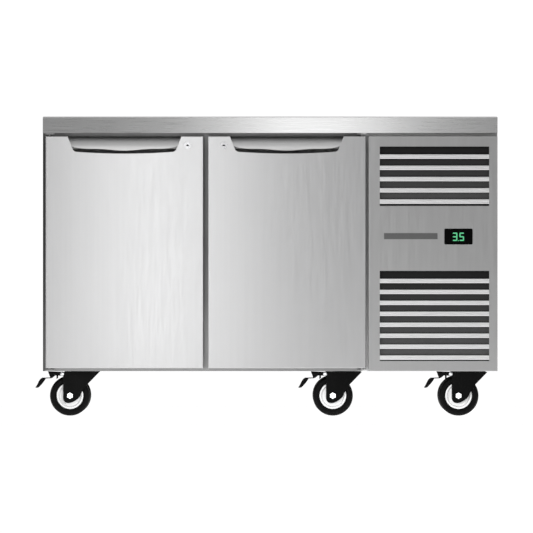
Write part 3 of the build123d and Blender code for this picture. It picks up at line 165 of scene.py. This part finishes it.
def link_light(light, pieces, state):
    """Makes a light reach only the given pieces (INCLUDE), or everything but them (EXCLUDE)."""
    group = bpy.data.collections.new(light.name + "_reach")
    for piece in pieces:
        group.objects.link(piece)
    for member in group.collection_objects:
        member.light_linking.link_state = state
    light.light_linking.receiver_collection = group


def make_lights():
    """A tall key for the doors, a strip for the worktop's edge, and a soft room round them."""
    worktop = [frame["nodes"]["worktop"]]
    link_light(softbox(*KEY), worktop, "EXCLUDE")
    link_light(softbox(*EDGE_STRIP), worktop, "INCLUDE")
    for light in ROOM_LIGHTS:
        softbox(*light)


def light_hubs(pieces):
    """A low fill in front that picks out the castors' pale hubs and plated fittings."""
    link_light(softbox(*HUB_FILL), pieces, "INCLUDE")


def make_floor():
    """A round pale floor, about as bright as the backdrop."""
    mesh = bpy.data.meshes.new("floor")
    shape = bmesh.new()
    bmesh.ops.create_circle(shape, cap_ends=True, segments=FLOOR_SIDES, radius=FLOOR_RADIUS)
    shape.to_mesh(mesh)
    shape.free()
    floor = bpy.data.objects.new("floor", mesh)
    bpy.context.collection.objects.link(floor)
    material, _, shader = new_material("floor_white")
    shader.inputs["Base Color"].default_value = (*grey(FLOOR_GREY), 1)
    shader.inputs["Roughness"].default_value = 0.9
    shader.inputs["Emission Color"].default_value = WHITE
    shader.inputs["Emission Strength"].default_value = FLOOR_GLOW
    mesh.materials.append(material)


# ---------------------------------------------------------------- material helpers
NOISE_RANGE = (0.3, 0.7)  # where almost all of a noise texture's values lie


def new_material(name):
    """A material with one Principled shader; returns it with its node tree and shader."""
    material = bpy.data.materials.new(name)
    material.use_nodes = True
    tree = material.node_tree
    tree.nodes.clear()
    output = tree.nodes.new("ShaderNodeOutputMaterial")
    shader = tree.nodes.new("ShaderNodeBsdfPrincipled")
    tree.links.new(shader.outputs["BSDF"], output.inputs["Surface"])
    return material, tree, shader


def noise(tree, per_metre, detail):
    """Noise in the piece's own coordinates, with its own number of waves per metre on each axis."""
    place = tree.nodes.new("ShaderNodeTexCoord")
    mapping = tree.nodes.new("ShaderNodeMapping")
    mapping.inputs["Scale"].default_value = per_metre
    texture = tree.nodes.new("ShaderNodeTexNoise")
    texture.inputs["Scale"].default_value = 1.0
    texture.inputs["Detail"].default_value = detail
    tree.links.new(place.outputs["Object"], mapping.inputs["Vector"])
    tree.links.new(mapping.outputs["Vector"], texture.inputs["Vector"])
    return texture.outputs["Fac"]


def spread(tree, value, low, high, source=NOISE_RANGE):
    """A value mapped to run from low to high."""
    node = tree.nodes.new("ShaderNodeMapRange")
    node.inputs["From Min"].default_value = source[0]
    node.inputs["From Max"].default_value = source[1]
    node.inputs["To Min"].default_value = low
    node.inputs["To Max"].default_value = high
    tree.links.new(value, node.inputs["Value"])
    return node.outputs["Result"]


def average(tree, first, second):
    """The mean of two values."""
    half_second = tree.nodes.new("ShaderNodeMath")
    half_second.operation = "MULTIPLY"
    half_second.inputs[1].default_value = 0.5
    mean = tree.nodes.new("ShaderNodeMath")
    mean.operation = "MULTIPLY_ADD"
    mean.inputs[1].default_value = 0.5
    tree.links.new(second, half_second.inputs[0])
    tree.links.new(first, mean.inputs[0])
    tree.links.new(half_second.outputs[0], mean.inputs[2])
    return mean.outputs[0]


def shade(tree, value, dark, light):
    """A colour that runs from dark to light with a noise value."""
    ramp = tree.nodes.new("ShaderNodeValToRGB")
    for element, at, colour in zip(ramp.color_ramp.elements, NOISE_RANGE, (dark, light)):
        element.position = at
        element.color = (*colour, 1)
    tree.links.new(value, ramp.inputs["Fac"])
    return ramp.outputs["Color"]


def vary_roughness(tree, shader, value, low, high):
    """Roughness that runs from low to high with a noise value."""
    tree.links.new(spread(tree, value, low, high), shader.inputs["Roughness"])


def bump(tree, shader, height, depth):
    """Relief of a given depth in metres."""
    node = tree.nodes.new("ShaderNodeBump")
    node.inputs["Strength"].default_value = 1.0
    node.inputs["Distance"].default_value = depth
    tree.links.new(height, node.inputs["Height"])
    tree.links.new(node.outputs["Normal"], shader.inputs["Normal"])


def tint(colour, factor):
    """A colour made lighter or darker."""
    return tuple(min(1.0, part * factor) for part in colour)


def grey(tone):
    """A colour with the same value in red, green and blue."""
    return (tone, tone, tone)


def level(tree, axis):
    """Where a point is along one of the piece's own axes, in metres."""
    place = tree.nodes.new("ShaderNodeTexCoord")
    split = tree.nodes.new("ShaderNodeSeparateXYZ")
    tree.links.new(place.outputs["Object"], split.inputs["Vector"])
    return split.outputs[axis]


def graded(tree, value, stops):
    """A grey that follows a value through (value, tone) stops."""
    ramp = tree.nodes.new("ShaderNodeValToRGB")
    low, high = stops[0][0], stops[-1][0]
    while len(ramp.color_ramp.elements) < len(stops):
        ramp.color_ramp.elements.new(0.5)
    for element, (at, tone) in zip(ramp.color_ramp.elements, stops):
        element.position = (at - low) / (high - low)
        element.color = (*grey(tone), 1)
    tree.links.new(spread(tree, value, 0.0, 1.0, (low, high)), ramp.inputs["Fac"])
    return ramp.outputs["Color"]


def multiply(tree, first, second):
    """One colour times another."""
    node = tree.nodes.new("ShaderNodeMix")
    node.data_type = "RGBA"
    node.blend_type = "MULTIPLY"
    node.inputs["Factor"].default_value = 1.0
    tree.links.new(first, node.inputs[6])
    tree.links.new(second, node.inputs[7])
    return node.outputs[2]


# ---------------------------------------------------------------- materials
ALONG_X = (9.0, 700.0, 700.0)  # waves per metre of a grain that runs along X
ALONG_Z = (700.0, 700.0, 9.0)
STREAKS_PER_GRAIN = 1 / 6
STEEL_CHANGE = 0.05  # of roughness, either way
PAINT_CHANGE = 0.06
BRUSHED_DEPTH = 8e-6
PLATED_WAVES = 180.0
PLATED_DEPTH = 2e-5
SOIL_WAVES = 14.0
WEAVE_WAVES = (900.0, 200.0, 900.0)
WEAVE_DEPTH = 2e-4
GLOW_WAVES = 300.0
# Painted shade: each filter window is darkest at its head and lightest at its foot.
SHADE_FOOT_TONES, SHADE_HEAD_TONES = (0.17, 0.14), (0.01, 0.012)  # tones at the foot and the head: lower, upper window
LOWER_WINDOW_HEAD = -0.06  # from the controller's lower edge
UPPER_WINDOW_FOOT = 0.05  # from the controller's upper edge


def brushed_steel(name, tone, grain, roughness, contrast, painted_shade_grades=()):
    """Brushed stainless steel: fine grain one way and slow streaks, with painted shade graded along
    axes if asked.
    """
    material, tree, shader = new_material(name)
    fine = noise(tree, grain, 3.0)
    streaks = noise(tree, tuple(axis * STREAKS_PER_GRAIN for axis in grain), 2.0)
    both = average(tree, fine, streaks)
    colour = shade(tree, both, tint(tone, 1 - contrast), tint(tone, 1 + contrast))
    # painted shade: the colour multiplied by greys graded along the piece's own axes
    for axis, stops in painted_shade_grades:
        colour = multiply(tree, colour, graded(tree, level(tree, axis), stops))
    tree.links.new(colour, shader.inputs["Base Color"])
    vary_roughness(tree, shader, fine, roughness - STEEL_CHANGE, roughness + STEEL_CHANGE)
    shader.inputs["Metallic"].default_value = 1.0
    bump(tree, shader, fine, BRUSHED_DEPTH)
    return material


def plated(name, tone, roughness):
    """Plated or machined metal with a slightly uneven surface."""
    material, tree, shader = new_material(name)
    grain = noise(tree, (PLATED_WAVES,) * 3, 4.0)
    colour = shade(tree, grain, tint(tone, 0.88), tint(tone, 1.06))
    tree.links.new(colour, shader.inputs["Base Color"])
    vary_roughness(tree, shader, grain, roughness - 0.06, roughness + 0.08)
    shader.inputs["Metallic"].default_value = 1.0
    bump(tree, shader, grain, PLATED_DEPTH)
    return material


def painted(name, tone, roughness, waves, depth, specular):
    """Powder coat or moulded plastic, with a fine orange-peel texture."""
    material, tree, shader = new_material(name)
    shader.inputs["Specular IOR Level"].default_value = specular
    peel = noise(tree, (waves,) * 3, 2.0)
    soil = noise(tree, (SOIL_WAVES,) * 3, 4.0)
    colour = shade(tree, soil, tint(tone, 0.8), tint(tone, 1.15))
    tree.links.new(colour, shader.inputs["Base Color"])
    vary_roughness(tree, shader, soil, roughness - PAINT_CHANGE, roughness + PAINT_CHANGE)
    bump(tree, shader, peel, depth)
    return material


def filter_mesh(name):
    """A dark woven air filter, with painted shade that darkens each window towards its head."""
    material, tree, shader = new_material(name)
    weave = noise(tree, WEAVE_WAVES, 2.0)
    low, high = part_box("air_filters")
    gap_low, gap_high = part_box("temperature_controller")
    lower_window = ((low.z, SHADE_FOOT_TONES[0]), (gap_low.z + LOWER_WINDOW_HEAD, SHADE_HEAD_TONES[0]))
    upper_window = ((gap_high.z + UPPER_WINDOW_FOOT, SHADE_FOOT_TONES[1]), (high.z, SHADE_HEAD_TONES[1]))
    # painted shade, dark at the head of each window and lighter at its foot
    painted_window_shade = graded(tree, level(tree, "Z"), lower_window + upper_window)
    colour = multiply(tree, painted_window_shade, shade(tree, weave, grey(0.7), grey(1.0)))
    tree.links.new(colour, shader.inputs["Base Color"])
    shader.inputs["Roughness"].default_value = 0.85
    shader.inputs["Specular IOR Level"].default_value = 0.1
    bump(tree, shader, weave, WEAVE_DEPTH)
    return material


def glow(name, tone, strength):
    """A lit display segment, a little uneven along its length."""
    material, tree, shader = new_material(name)
    uneven = noise(tree, (GLOW_WAVES,) * 3, 1.0)
    colour = shade(tree, uneven, tint(tone, 0.8), tint(tone, 1.1))
    tree.links.new(colour, shader.inputs["Emission Color"])
    tree.links.new(colour, shader.inputs["Base Color"])
    shader.inputs["Emission Strength"].default_value = strength
    shader.inputs["Roughness"].default_value = 0.4
    return material


def frame_painted_shade():
    """Painted shade in the front frame's gaps, as (height, tone) and (across, tone) stops: darker up
    the gaps and at the left edge.
    """
    low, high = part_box("front_frame")
    door_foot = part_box("door_skin_left")[0].z
    left_shade_width, panel_gap, step = 0.012, 0.13, 0.012
    shade_by_height = ((low.z, 1.0), (door_foot, 0.97), (0.2, 1.0), (0.35, 0.61), (0.5, 0.47), (0.8, 0.4))
    shade_by_height += ((high.z, 0.64),)
    # painted shade across the frame: darkest at the left edge, full tone near the right end
    across = ((low.x, 0.13), (low.x + left_shade_width, 0.36), (high.x - panel_gap, 0.36))
    across += ((high.x - panel_gap + step, 1.0), (high.x, 1.0))
    return ("Z", shade_by_height), ("X", across)


# slot: colour, grain, roughness, contrast, and the painted shade of the frame's gaps
STEELS = {
    "worktop_steel": (grey(0.56), ALONG_X, 0.3, 0.015),
    "casing_steel": (grey(0.5), ALONG_Z, 0.42, 0.03),
    # full-tone grey, darkened in the gaps by painted shade
    "frame_steel": (grey(1.0), ALONG_Z, 0.42, 0.03, frame_painted_shade()),
    "door_steel": ((0.59, 0.59, 0.593), ALONG_Z, 0.36, 0.02),
    "panel_steel": (grey(0.53), ALONG_Z, 0.36, 0.02),
    "grille_steel": (grey(0.95), ALONG_X, 0.35, 0.03),
    "handle_steel": (grey(0.57), ALONG_X, 0.42, 0.03),
    "liner_steel": ((0.72, 0.73, 0.74), ALONG_X, 0.38, 0.03),
    "badge_dark": (grey(0.2), ALONG_X, 0.35, 0.03),
}

# slot: colour, roughness
PLATED = {
    "lock_chrome": ((0.6, 0.6, 0.61), 0.28),
    "coil_fins": ((0.72, 0.73, 0.75), 0.35),
    "pipe_copper": ((0.78, 0.42, 0.26), 0.28),
    "zinc": ((0.72, 0.73, 0.74), 0.34),
}

# slot: colour, roughness, waves a metre, depth, specular level
PAINTED = {
    "foam": ((0.8, 0.72, 0.5), 0.9, 500.0, 2e-4, 0.5),
    "shelf_wire": ((0.62, 0.64, 0.65), 0.3, 900.0, 3e-5, 0.5),
    "gasket": ((0.10, 0.10, 0.105), 0.55, 900.0, 3e-5, 0.5),
    "controller_plastic": (grey(0.002), 0.2, 900.0, 3e-5, 0.05),
    "compressor_paint": ((0.02, 0.02, 0.022), 0.4, 900.0, 3e-5, 0.5),
    "fan_plastic": ((0.05, 0.05, 0.055), 0.45, 900.0, 3e-5, 0.5),
    "motor_paint": ((0.09, 0.09, 0.10), 0.5, 900.0, 3e-5, 0.5),
    "box_plastic": ((0.30, 0.31, 0.32), 0.5, 900.0, 3e-5, 0.5),
    "tray_plastic": ((0.6, 0.6, 0.58), 0.5, 900.0, 3e-5, 0.5),
    "castor_paint": (grey(0.003), 0.42, 900.0, 3e-5, 0.1),
    "hub_plastic": (grey(0.82), 0.4, 900.0, 3e-5, 0.5),
    "tyre_rubber": (grey(0.004), 0.5, 1400.0, 4e-5, 0.12),
}


def make_materials():
    """One material for each of the record's slots, one for the badge and one for lit segments."""
    materials = {"filter_mesh": filter_mesh("filter_mesh")}
    materials["display_green"] = glow("display_green", (0.07, 0.36, 0.17), 1.0)
    for recipe, finishes in ((brushed_steel, STEELS), (plated, PLATED), (painted, PAINTED)):
        for name, finish in finishes.items():
            materials[name] = recipe(name, *finish)
    return materials


def dress(nodes, materials):
    """Gives every CAD node the material of its slot in the record."""
    for part in frame["record"]["subparts"]:
        piece = nodes[part["node"]]
        if not piece.data.materials:
            piece.data.materials.append(None)
        for slot in piece.material_slots:
            slot.link = "OBJECT"
            slot.material = materials[part["material_slot"]]


# ---------------------------------------------------------------- mesh helpers
CORNER_STEPS = 6
LATHE_STEPS = 96


def place_piece(name, shape, material, body):
    """Turns a bmesh in the row frame into a piece that rides a body and takes a material."""
    mesh = bpy.data.meshes.new(name)
    bmesh.ops.recalc_face_normals(shape, faces=shape.faces)
    shape.to_mesh(mesh)
    shape.free()
    mesh.materials.append(material)
    piece = bpy.data.objects.new(name, mesh)
    bpy.context.collection.objects.link(piece)
    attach(piece, body)
    return piece


def bridge(shape, first, second):
    """A band of faces between two rings with the same number of points."""
    for i in range(len(first)):
        j = (i + 1) % len(first)
        shape.faces.new((first[i], first[j], second[j], second[i]))


def close_solid(shape, rings):
    """A closed solid through a row of rings, with a flat face on each end."""
    for first, second in zip(rings, rings[1:]):
        bridge(shape, first, second)
    shape.faces.new(rings[-1])
    shape.faces.new(list(reversed(rings[0])))


def unit_circle(steps):
    """Points round a circle of radius 1."""
    turns = [math.tau * i / steps for i in range(steps)]
    return [(math.cos(turn), math.sin(turn)) for turn in turns]


def slab(shape, outline, front, back):
    """A closed plate: an outline of (x, z) points, from one Y to another."""
    rings = [[shape.verts.new((x, y, z)) for x, z in outline] for y in (front, back)]
    close_solid(shape, rings)


def bevelled_slab(shape, outline, centre, front, back, bevel):
    """A closed plate whose front edge is chamfered by a fixed width."""
    rings = []
    for y, inset in ((back, 0.0), (front + bevel, 0.0), (front, bevel)):
        ring = []
        for x, z in outline:
            reach = Vector((x - centre[0], z - centre[1]))
            reach = reach * (1 - inset / reach.length)
            ring.append(shape.verts.new((centre[0] + reach.x, y, centre[1] + reach.y)))
        rings.append(ring)
    close_solid(shape, rings)


def frame_between(shape, outer, inner, front, back):
    """A closed border between two outlines with the same number of points."""
    rings = []
    for y, outline in ((front, outer), (back, outer), (back, inner), (front, inner)):
        rings.append([shape.verts.new((x, y, z)) for x, z in outline])
    for first, second in zip(rings, rings[1:] + rings[:1]):
        bridge(shape, first, second)


def rounded_rectangle(x, z, radius):
    """The (x, z) points of a rectangle with round corners."""
    points = []
    corners = ((x[1], z[1], 0), (x[0], z[1], 90), (x[0], z[0], 180), (x[1], z[0], 270))
    for corner_x, corner_z, start in corners:
        centre_x = corner_x - math.copysign(radius, corner_x - sum(x) / 2)
        centre_z = corner_z - math.copysign(radius, corner_z - sum(z) / 2)
        for step in range(CORNER_STEPS + 1):
            angle = math.radians(start + 90 * step / CORNER_STEPS)
            across, up = radius * math.cos(angle), radius * math.sin(angle)
            points.append((centre_x + across, centre_z + up))
    return points


def lathe(shape, profile, centre):
    """Turns closed (radius, y) points about an axle along Y through a centre."""
    rings = []
    for across, up in unit_circle(LATHE_STEPS):
        spots = [Vector((radius * across, y, radius * up)) for radius, y in profile]
        rings.append([shape.verts.new(centre + spot) for spot in spots])
    for ring, following in zip(rings, rings[1:] + rings[:1]):
        bridge(shape, ring, following)


def smooth_by_angle(piece, degrees):
    """Smooth shading with sharp edges kept."""
    mesh = piece.data
    for face in mesh.polygons:
        face.use_smooth = True
    shape = bmesh.new()
    shape.from_mesh(mesh)
    for edge in shape.edges:
        if len(edge.link_faces) == 2 and edge.calc_face_angle() > math.radians(degrees):
            edge.smooth = False
    shape.to_mesh(mesh)
    shape.free()


# ---------------------------------------------------------------- machine panel pieces
SEGMENTS = {"3": "abcdg", "5": "acdfg"}
READING = "35"
GLASS_FRONT, GLASS_BACK = 0.35 * MM, 0.6 * MM  # behind the controller's face
GLASS_RIM = 1.8 * MM
GLASS_CORNER = 2.4 * MM
LIT_THICK = 0.1 * MM
DIGIT_WIDTH = 10.5 * MM
DIGIT_HEIGHT = 21.5 * MM
DIGIT_PITCH = 20.0 * MM
DIGITS_LEFT = 26.8 * MM  # from the controller's left edge
DIGITS_BOTTOM = 12.4 * MM  # from the controller's lower edge
STROKE = 3.6 * MM
SEGMENT_WIDTH = 0.98  # of the stroke
SEGMENT_SHOULDER = 0.1  # of half a stroke, past the end points
DOT_RADIUS = 1.5 * MM
DOT_DROP = 1.0 * MM
DOT_SIDES = 12


def segment_outline(start, end):
    """A bar between two points, with pointed ends, like one segment of a display."""
    first, last = Vector(start), Vector(end)
    along = (last - first).normalized()
    side = Vector((-along.y, along.x)) * STROKE / 2 * SEGMENT_WIDTH
    tip = along * STROKE / 2
    shoulder = tip * SEGMENT_SHOULDER
    points = [first - tip, first + side - shoulder, last + side + shoulder]
    points += [last + tip, last - side + shoulder, first - side - shoulder]
    return [(point.x, point.y) for point in points]


def digit_segments(symbol, left, bottom):
    """The segment outlines of one digit."""
    right = left + DIGIT_WIDTH
    half = bottom + DIGIT_HEIGHT / 2
    top = bottom + DIGIT_HEIGHT
    lines = {
        "a": ((left, top), (right, top)),
        "b": ((right, top), (right, half)),
        "c": ((right, half), (right, bottom)),
        "d": ((left, bottom), (right, bottom)),
        "e": ((left, bottom), (left, half)),
        "f": ((left, half), (left, top)),
        "g": ((left, half), (right, half)),
    }
    return [segment_outline(*lines[key]) for key in SEGMENTS[symbol]]


def make_display(materials):
    """A glass window sunk in the controller, and the lit segments of a reading."""
    low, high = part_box("temperature_controller")
    glass_y = (low.y + GLASS_FRONT, low.y + GLASS_BACK)
    window_x = (low.x + GLASS_RIM, high.x - GLASS_RIM)
    window_z = (low.z + GLASS_RIM, high.z - GLASS_RIM)
    glass = bmesh.new()
    slab(glass, rounded_rectangle(window_x, window_z, GLASS_CORNER), *glass_y)
    black = materials["controller_plastic"]
    place_piece("display_glass", glass, black, "cabinet")

    digits = bmesh.new()
    lit_y = (glass_y[0] - LIT_THICK, glass_y[0])
    left, bottom = low.x + DIGITS_LEFT, low.z + DIGITS_BOTTOM
    for index, symbol in enumerate(READING):
        for outline in digit_segments(symbol, left + index * DIGIT_PITCH, bottom):
            slab(digits, outline, *lit_y)
    dot_x, dot_z = left + (DIGIT_WIDTH + DIGIT_PITCH) / 2, bottom - DOT_DROP
    ring = unit_circle(DOT_SIDES)
    slab(digits, [(dot_x + DOT_RADIUS * x, dot_z + DOT_RADIUS * z) for x, z in ring], *lit_y)
    green = materials["display_green"]
    place_piece("display_digits", digits, green, "cabinet")


BADGE_X = (0.339, 0.502)  # from the cabinet's middle
BADGE_Z = (14.5 * MM, 35.5 * MM)  # above the controller's lower edge
BADGE_CORNER = 2.0 * MM
BADGE_BEVEL = 0.4 * MM
BORDER_WIDTH = 1.4 * MM
BORDER_CORNER = 1.0 * MM
BADGE_CLEARANCE = 0.2 * MM  # behind the worktop's edge
PLATE_FRONT = 0.6  # of the border's rise
BORDER_FOOT = 0.5


def make_badge(materials):
    """A blank badge on the machine panel: a thin plate with a raised border."""
    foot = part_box("temperature_controller")[0].z
    x = tuple(CABINET_X + edge for edge in BADGE_X)
    z = tuple(foot + edge for edge in BADGE_Z)
    outer = rounded_rectangle(x, z, BADGE_CORNER)
    thick = FACE_Y - FRONT_Y - BADGE_CLEARANCE
    centre = (sum(x) / 2, sum(z) / 2)
    plate = bmesh.new()
    bevelled_slab(plate, outer, centre, FACE_Y - thick * PLATE_FRONT, FACE_Y, BADGE_BEVEL)
    place_piece("badge_plate", plate, materials["badge_dark"], "cabinet")

    inner_x = (x[0] + BORDER_WIDTH, x[1] - BORDER_WIDTH)
    inner_z = (z[0] + BORDER_WIDTH, z[1] - BORDER_WIDTH)
    inner = rounded_rectangle(inner_x, inner_z, BORDER_CORNER)
    border = bmesh.new()
    frame_between(border, outer, inner, FACE_Y - thick, FACE_Y - thick * BORDER_FOOT)
    place_piece("badge_border", border, materials["panel_steel"], "cabinet")


def make_top_rail(materials):
    """The folded rail behind the gap over the machine panel, in line with the doors' frame."""
    frame_low, frame_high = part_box("front_frame")
    drop, sheet, clear = 24.0 * MM, 1.0 * MM, 1.2 * MM
    top = frame_high.z - clear
    ends_x = (frame_high.x + clear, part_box("outer_casing")[1].x - clear)
    face = frame_low.y
    section = [(face, top - drop), (face, top), (face + drop, top), (face + drop, top - sheet)]
    section += [(face + sheet, top - sheet), (face + sheet, top - drop)]
    rail = bmesh.new()
    close_solid(rail, [[rail.verts.new((x, y, z)) for y, z in section] for x in ends_x])
    # the frame's steel, with the painted shade of the frame's gaps
    steel = materials["frame_steel"]
    place_piece("machine_top_rail", rail, steel, "cabinet")


# ---------------------------------------------------------------- lock pieces
# (x, z) in mm from the lock's middle
KEYHOLE_OUTLINE = ((-5.7, -1.8), (5.7, -1.8), (1.425, 2.6), (-1.425, 2.6))
KEYHOLE_THICK = 0.35 * MM


def make_keyholes(materials):
    """A thin black plate in the shape of each lock's keyway."""
    black = materials["controller_plastic"]
    for side in SIDES:
        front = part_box(f"lock_cam_{side}")[0].y
        lock = middle(f"lock_barrel_{side}")
        outline = [(lock.x + x * MM, lock.z + z * MM) for x, z in KEYHOLE_OUTLINE]
        shape = bmesh.new()
        slab(shape, outline, front - KEYHOLE_THICK, front)
        place_piece(f"keyhole_{side}", shape, black, f"lock_{side}")


# ---------------------------------------------------------------- castor pieces
SMOOTH_UP_TO = 35  # degrees between faces

# (radius, half the width) in mm, from the bore outwards
TYRE_HALF = (
    (40.0, 14.2), (41.5, 15.2), (43.0, 14.6), (44.0, 14.4), (45.5, 15.4), (49.0, 15.9),
    (53.0, 15.6), (56.0, 14.2), (58.2, 11.8), (59.4, 8.6), (60.0, 4.5),
)
HUB_HALF = (
    (6.05, 18.0), (12.5, 18.0), (14.0, 17.0), (15.0, 8.0), (17.0, 6.0), (24.0, 5.2),
    (31.0, 6.4), (33.6, 9.0), (34.6, 12.6), (36.0, 13.4), (38.6, 13.4), (39.9, 12.6),
)
WHEEL_PIECES = (("tyre", TYRE_HALF, "tyre_rubber"), ("hub", HUB_HALF, "hub_plastic"))  # hub last

FORK_LEG_Y = 24.0 * MM  # from the wheel's middle to the outside of a fork leg
CAP_RADIUS = 10.3 * MM
CAP_LENGTH = 7.6 * MM
CAP_LEVELS = ((0.0, 1.0), (0.8, 1.0), (1.0, 0.86), (1.0, 0.5), (0.96, 0.42))  # along, width
RIVET_RADIUS = 6.4 * MM
RIVET_HEIGHT = 3.0 * MM
RIVET_SIDES = 32
RIVET_TILTS = range(0, 90, 15)
RIVET_SMOOTH_UP_TO = 40


def both_sides(half):
    """A closed wheel profile in metres from one half of it in millimetres."""
    near = [(radius * MM, -across * MM) for radius, across in half]
    return near + [(radius, -y) for radius, y in reversed(near)]


def hexagon_cap(shape, centre, outwards):
    """A bolt head with a chamfered rim and a shallow dish, standing off along Y."""
    rings = []
    for along, width in CAP_LEVELS:
        y = outwards * CAP_LENGTH * along
        ring = []
        for corner in range(6):
            angle = math.tau * (corner + 0.5) / 6
            offset = Vector((math.cos(angle), 0, math.sin(angle))) * CAP_RADIUS * width
            ring.append(shape.verts.new(centre + offset + Vector((0, y, 0))))
        rings.append(ring)
    close_solid(shape, rings)


def rivet_head(shape, centre, outwards):
    """A domed rivet head, standing off along Y from a fork leg."""
    rings = []
    for tilt in RIVET_TILTS:
        radius = RIVET_RADIUS * math.cos(math.radians(tilt))
        y = outwards * (FORK_LEG_Y + RIVET_HEIGHT * math.sin(math.radians(tilt)))
        spots = [Vector((radius * x, y, radius * z)) for x, z in unit_circle(RIVET_SIDES)]
        rings.append([shape.verts.new(centre + spot) for spot in spots])
    close_solid(shape, rings)


def make_wheel(number, centre, materials):
    """A turned tyre and hub in place of the plain ones; returns the hub."""
    for kind, half, slot in WHEEL_PIECES:
        shape = bmesh.new()
        lathe(shape, both_sides(half), centre)
        piece = place_piece(f"{kind}_{number}", shape, materials[slot], f"wheel_{number}")
        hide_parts(f"castor_{kind}_{number}")
        smooth_by_angle(piece, SMOOTH_UP_TO)
    return piece


def make_axle_caps(number, centre, material):
    """A plated cap over each end of the axle bolt."""
    caps = bmesh.new()
    for outwards in (-1, 1):
        hexagon_cap(caps, centre + Vector((0, outwards * FORK_LEG_Y, 0)), outwards)
    return place_piece(f"axle_caps_{number}", caps, material, f"castor_{number}")


def make_rivets(number, centre, material):
    """Domed rivet heads on both ends of the brake's pivot pin."""
    pivot = centre + Vector((BRAKE_PIVOT[0], 0, BRAKE_PIVOT[1] - centre.z))
    shape = bmesh.new()
    for outwards in (-1, 1):
        rivet_head(shape, pivot, outwards)
    piece = place_piece(f"brake_rivets_{number}", shape, material, f"castor_{number}")
    smooth_by_angle(piece, RIVET_SMOOTH_UP_TO)
    return piece


def make_castors(materials):
    """Every castor's wheel and plated fittings; returns the bright pieces, for the low fill."""
    bright = []
    for number in CASTORS:
        centre = middle(f"castor_tyre_{number}")
        bright.append(make_wheel(number, centre, materials))
        bright.append(make_axle_caps(number, centre, materials["zinc"]))
    for number in BRAKED:
        centre = middle(f"castor_tyre_{number}")
        bright.append(make_rivets(number, centre, materials["zinc"]))
    return bright


# ---------------------------------------------------------------- build
make_camera()
make_world()
make_lights()
make_floor()
bpy.context.scene.view_settings.view_transform = "Standard"
materials = make_materials()
dress(frame["nodes"], materials)
make_display(materials)
make_badge(materials)
make_top_rail(materials)
make_keyholes(materials)
light_hubs(make_castors(materials))
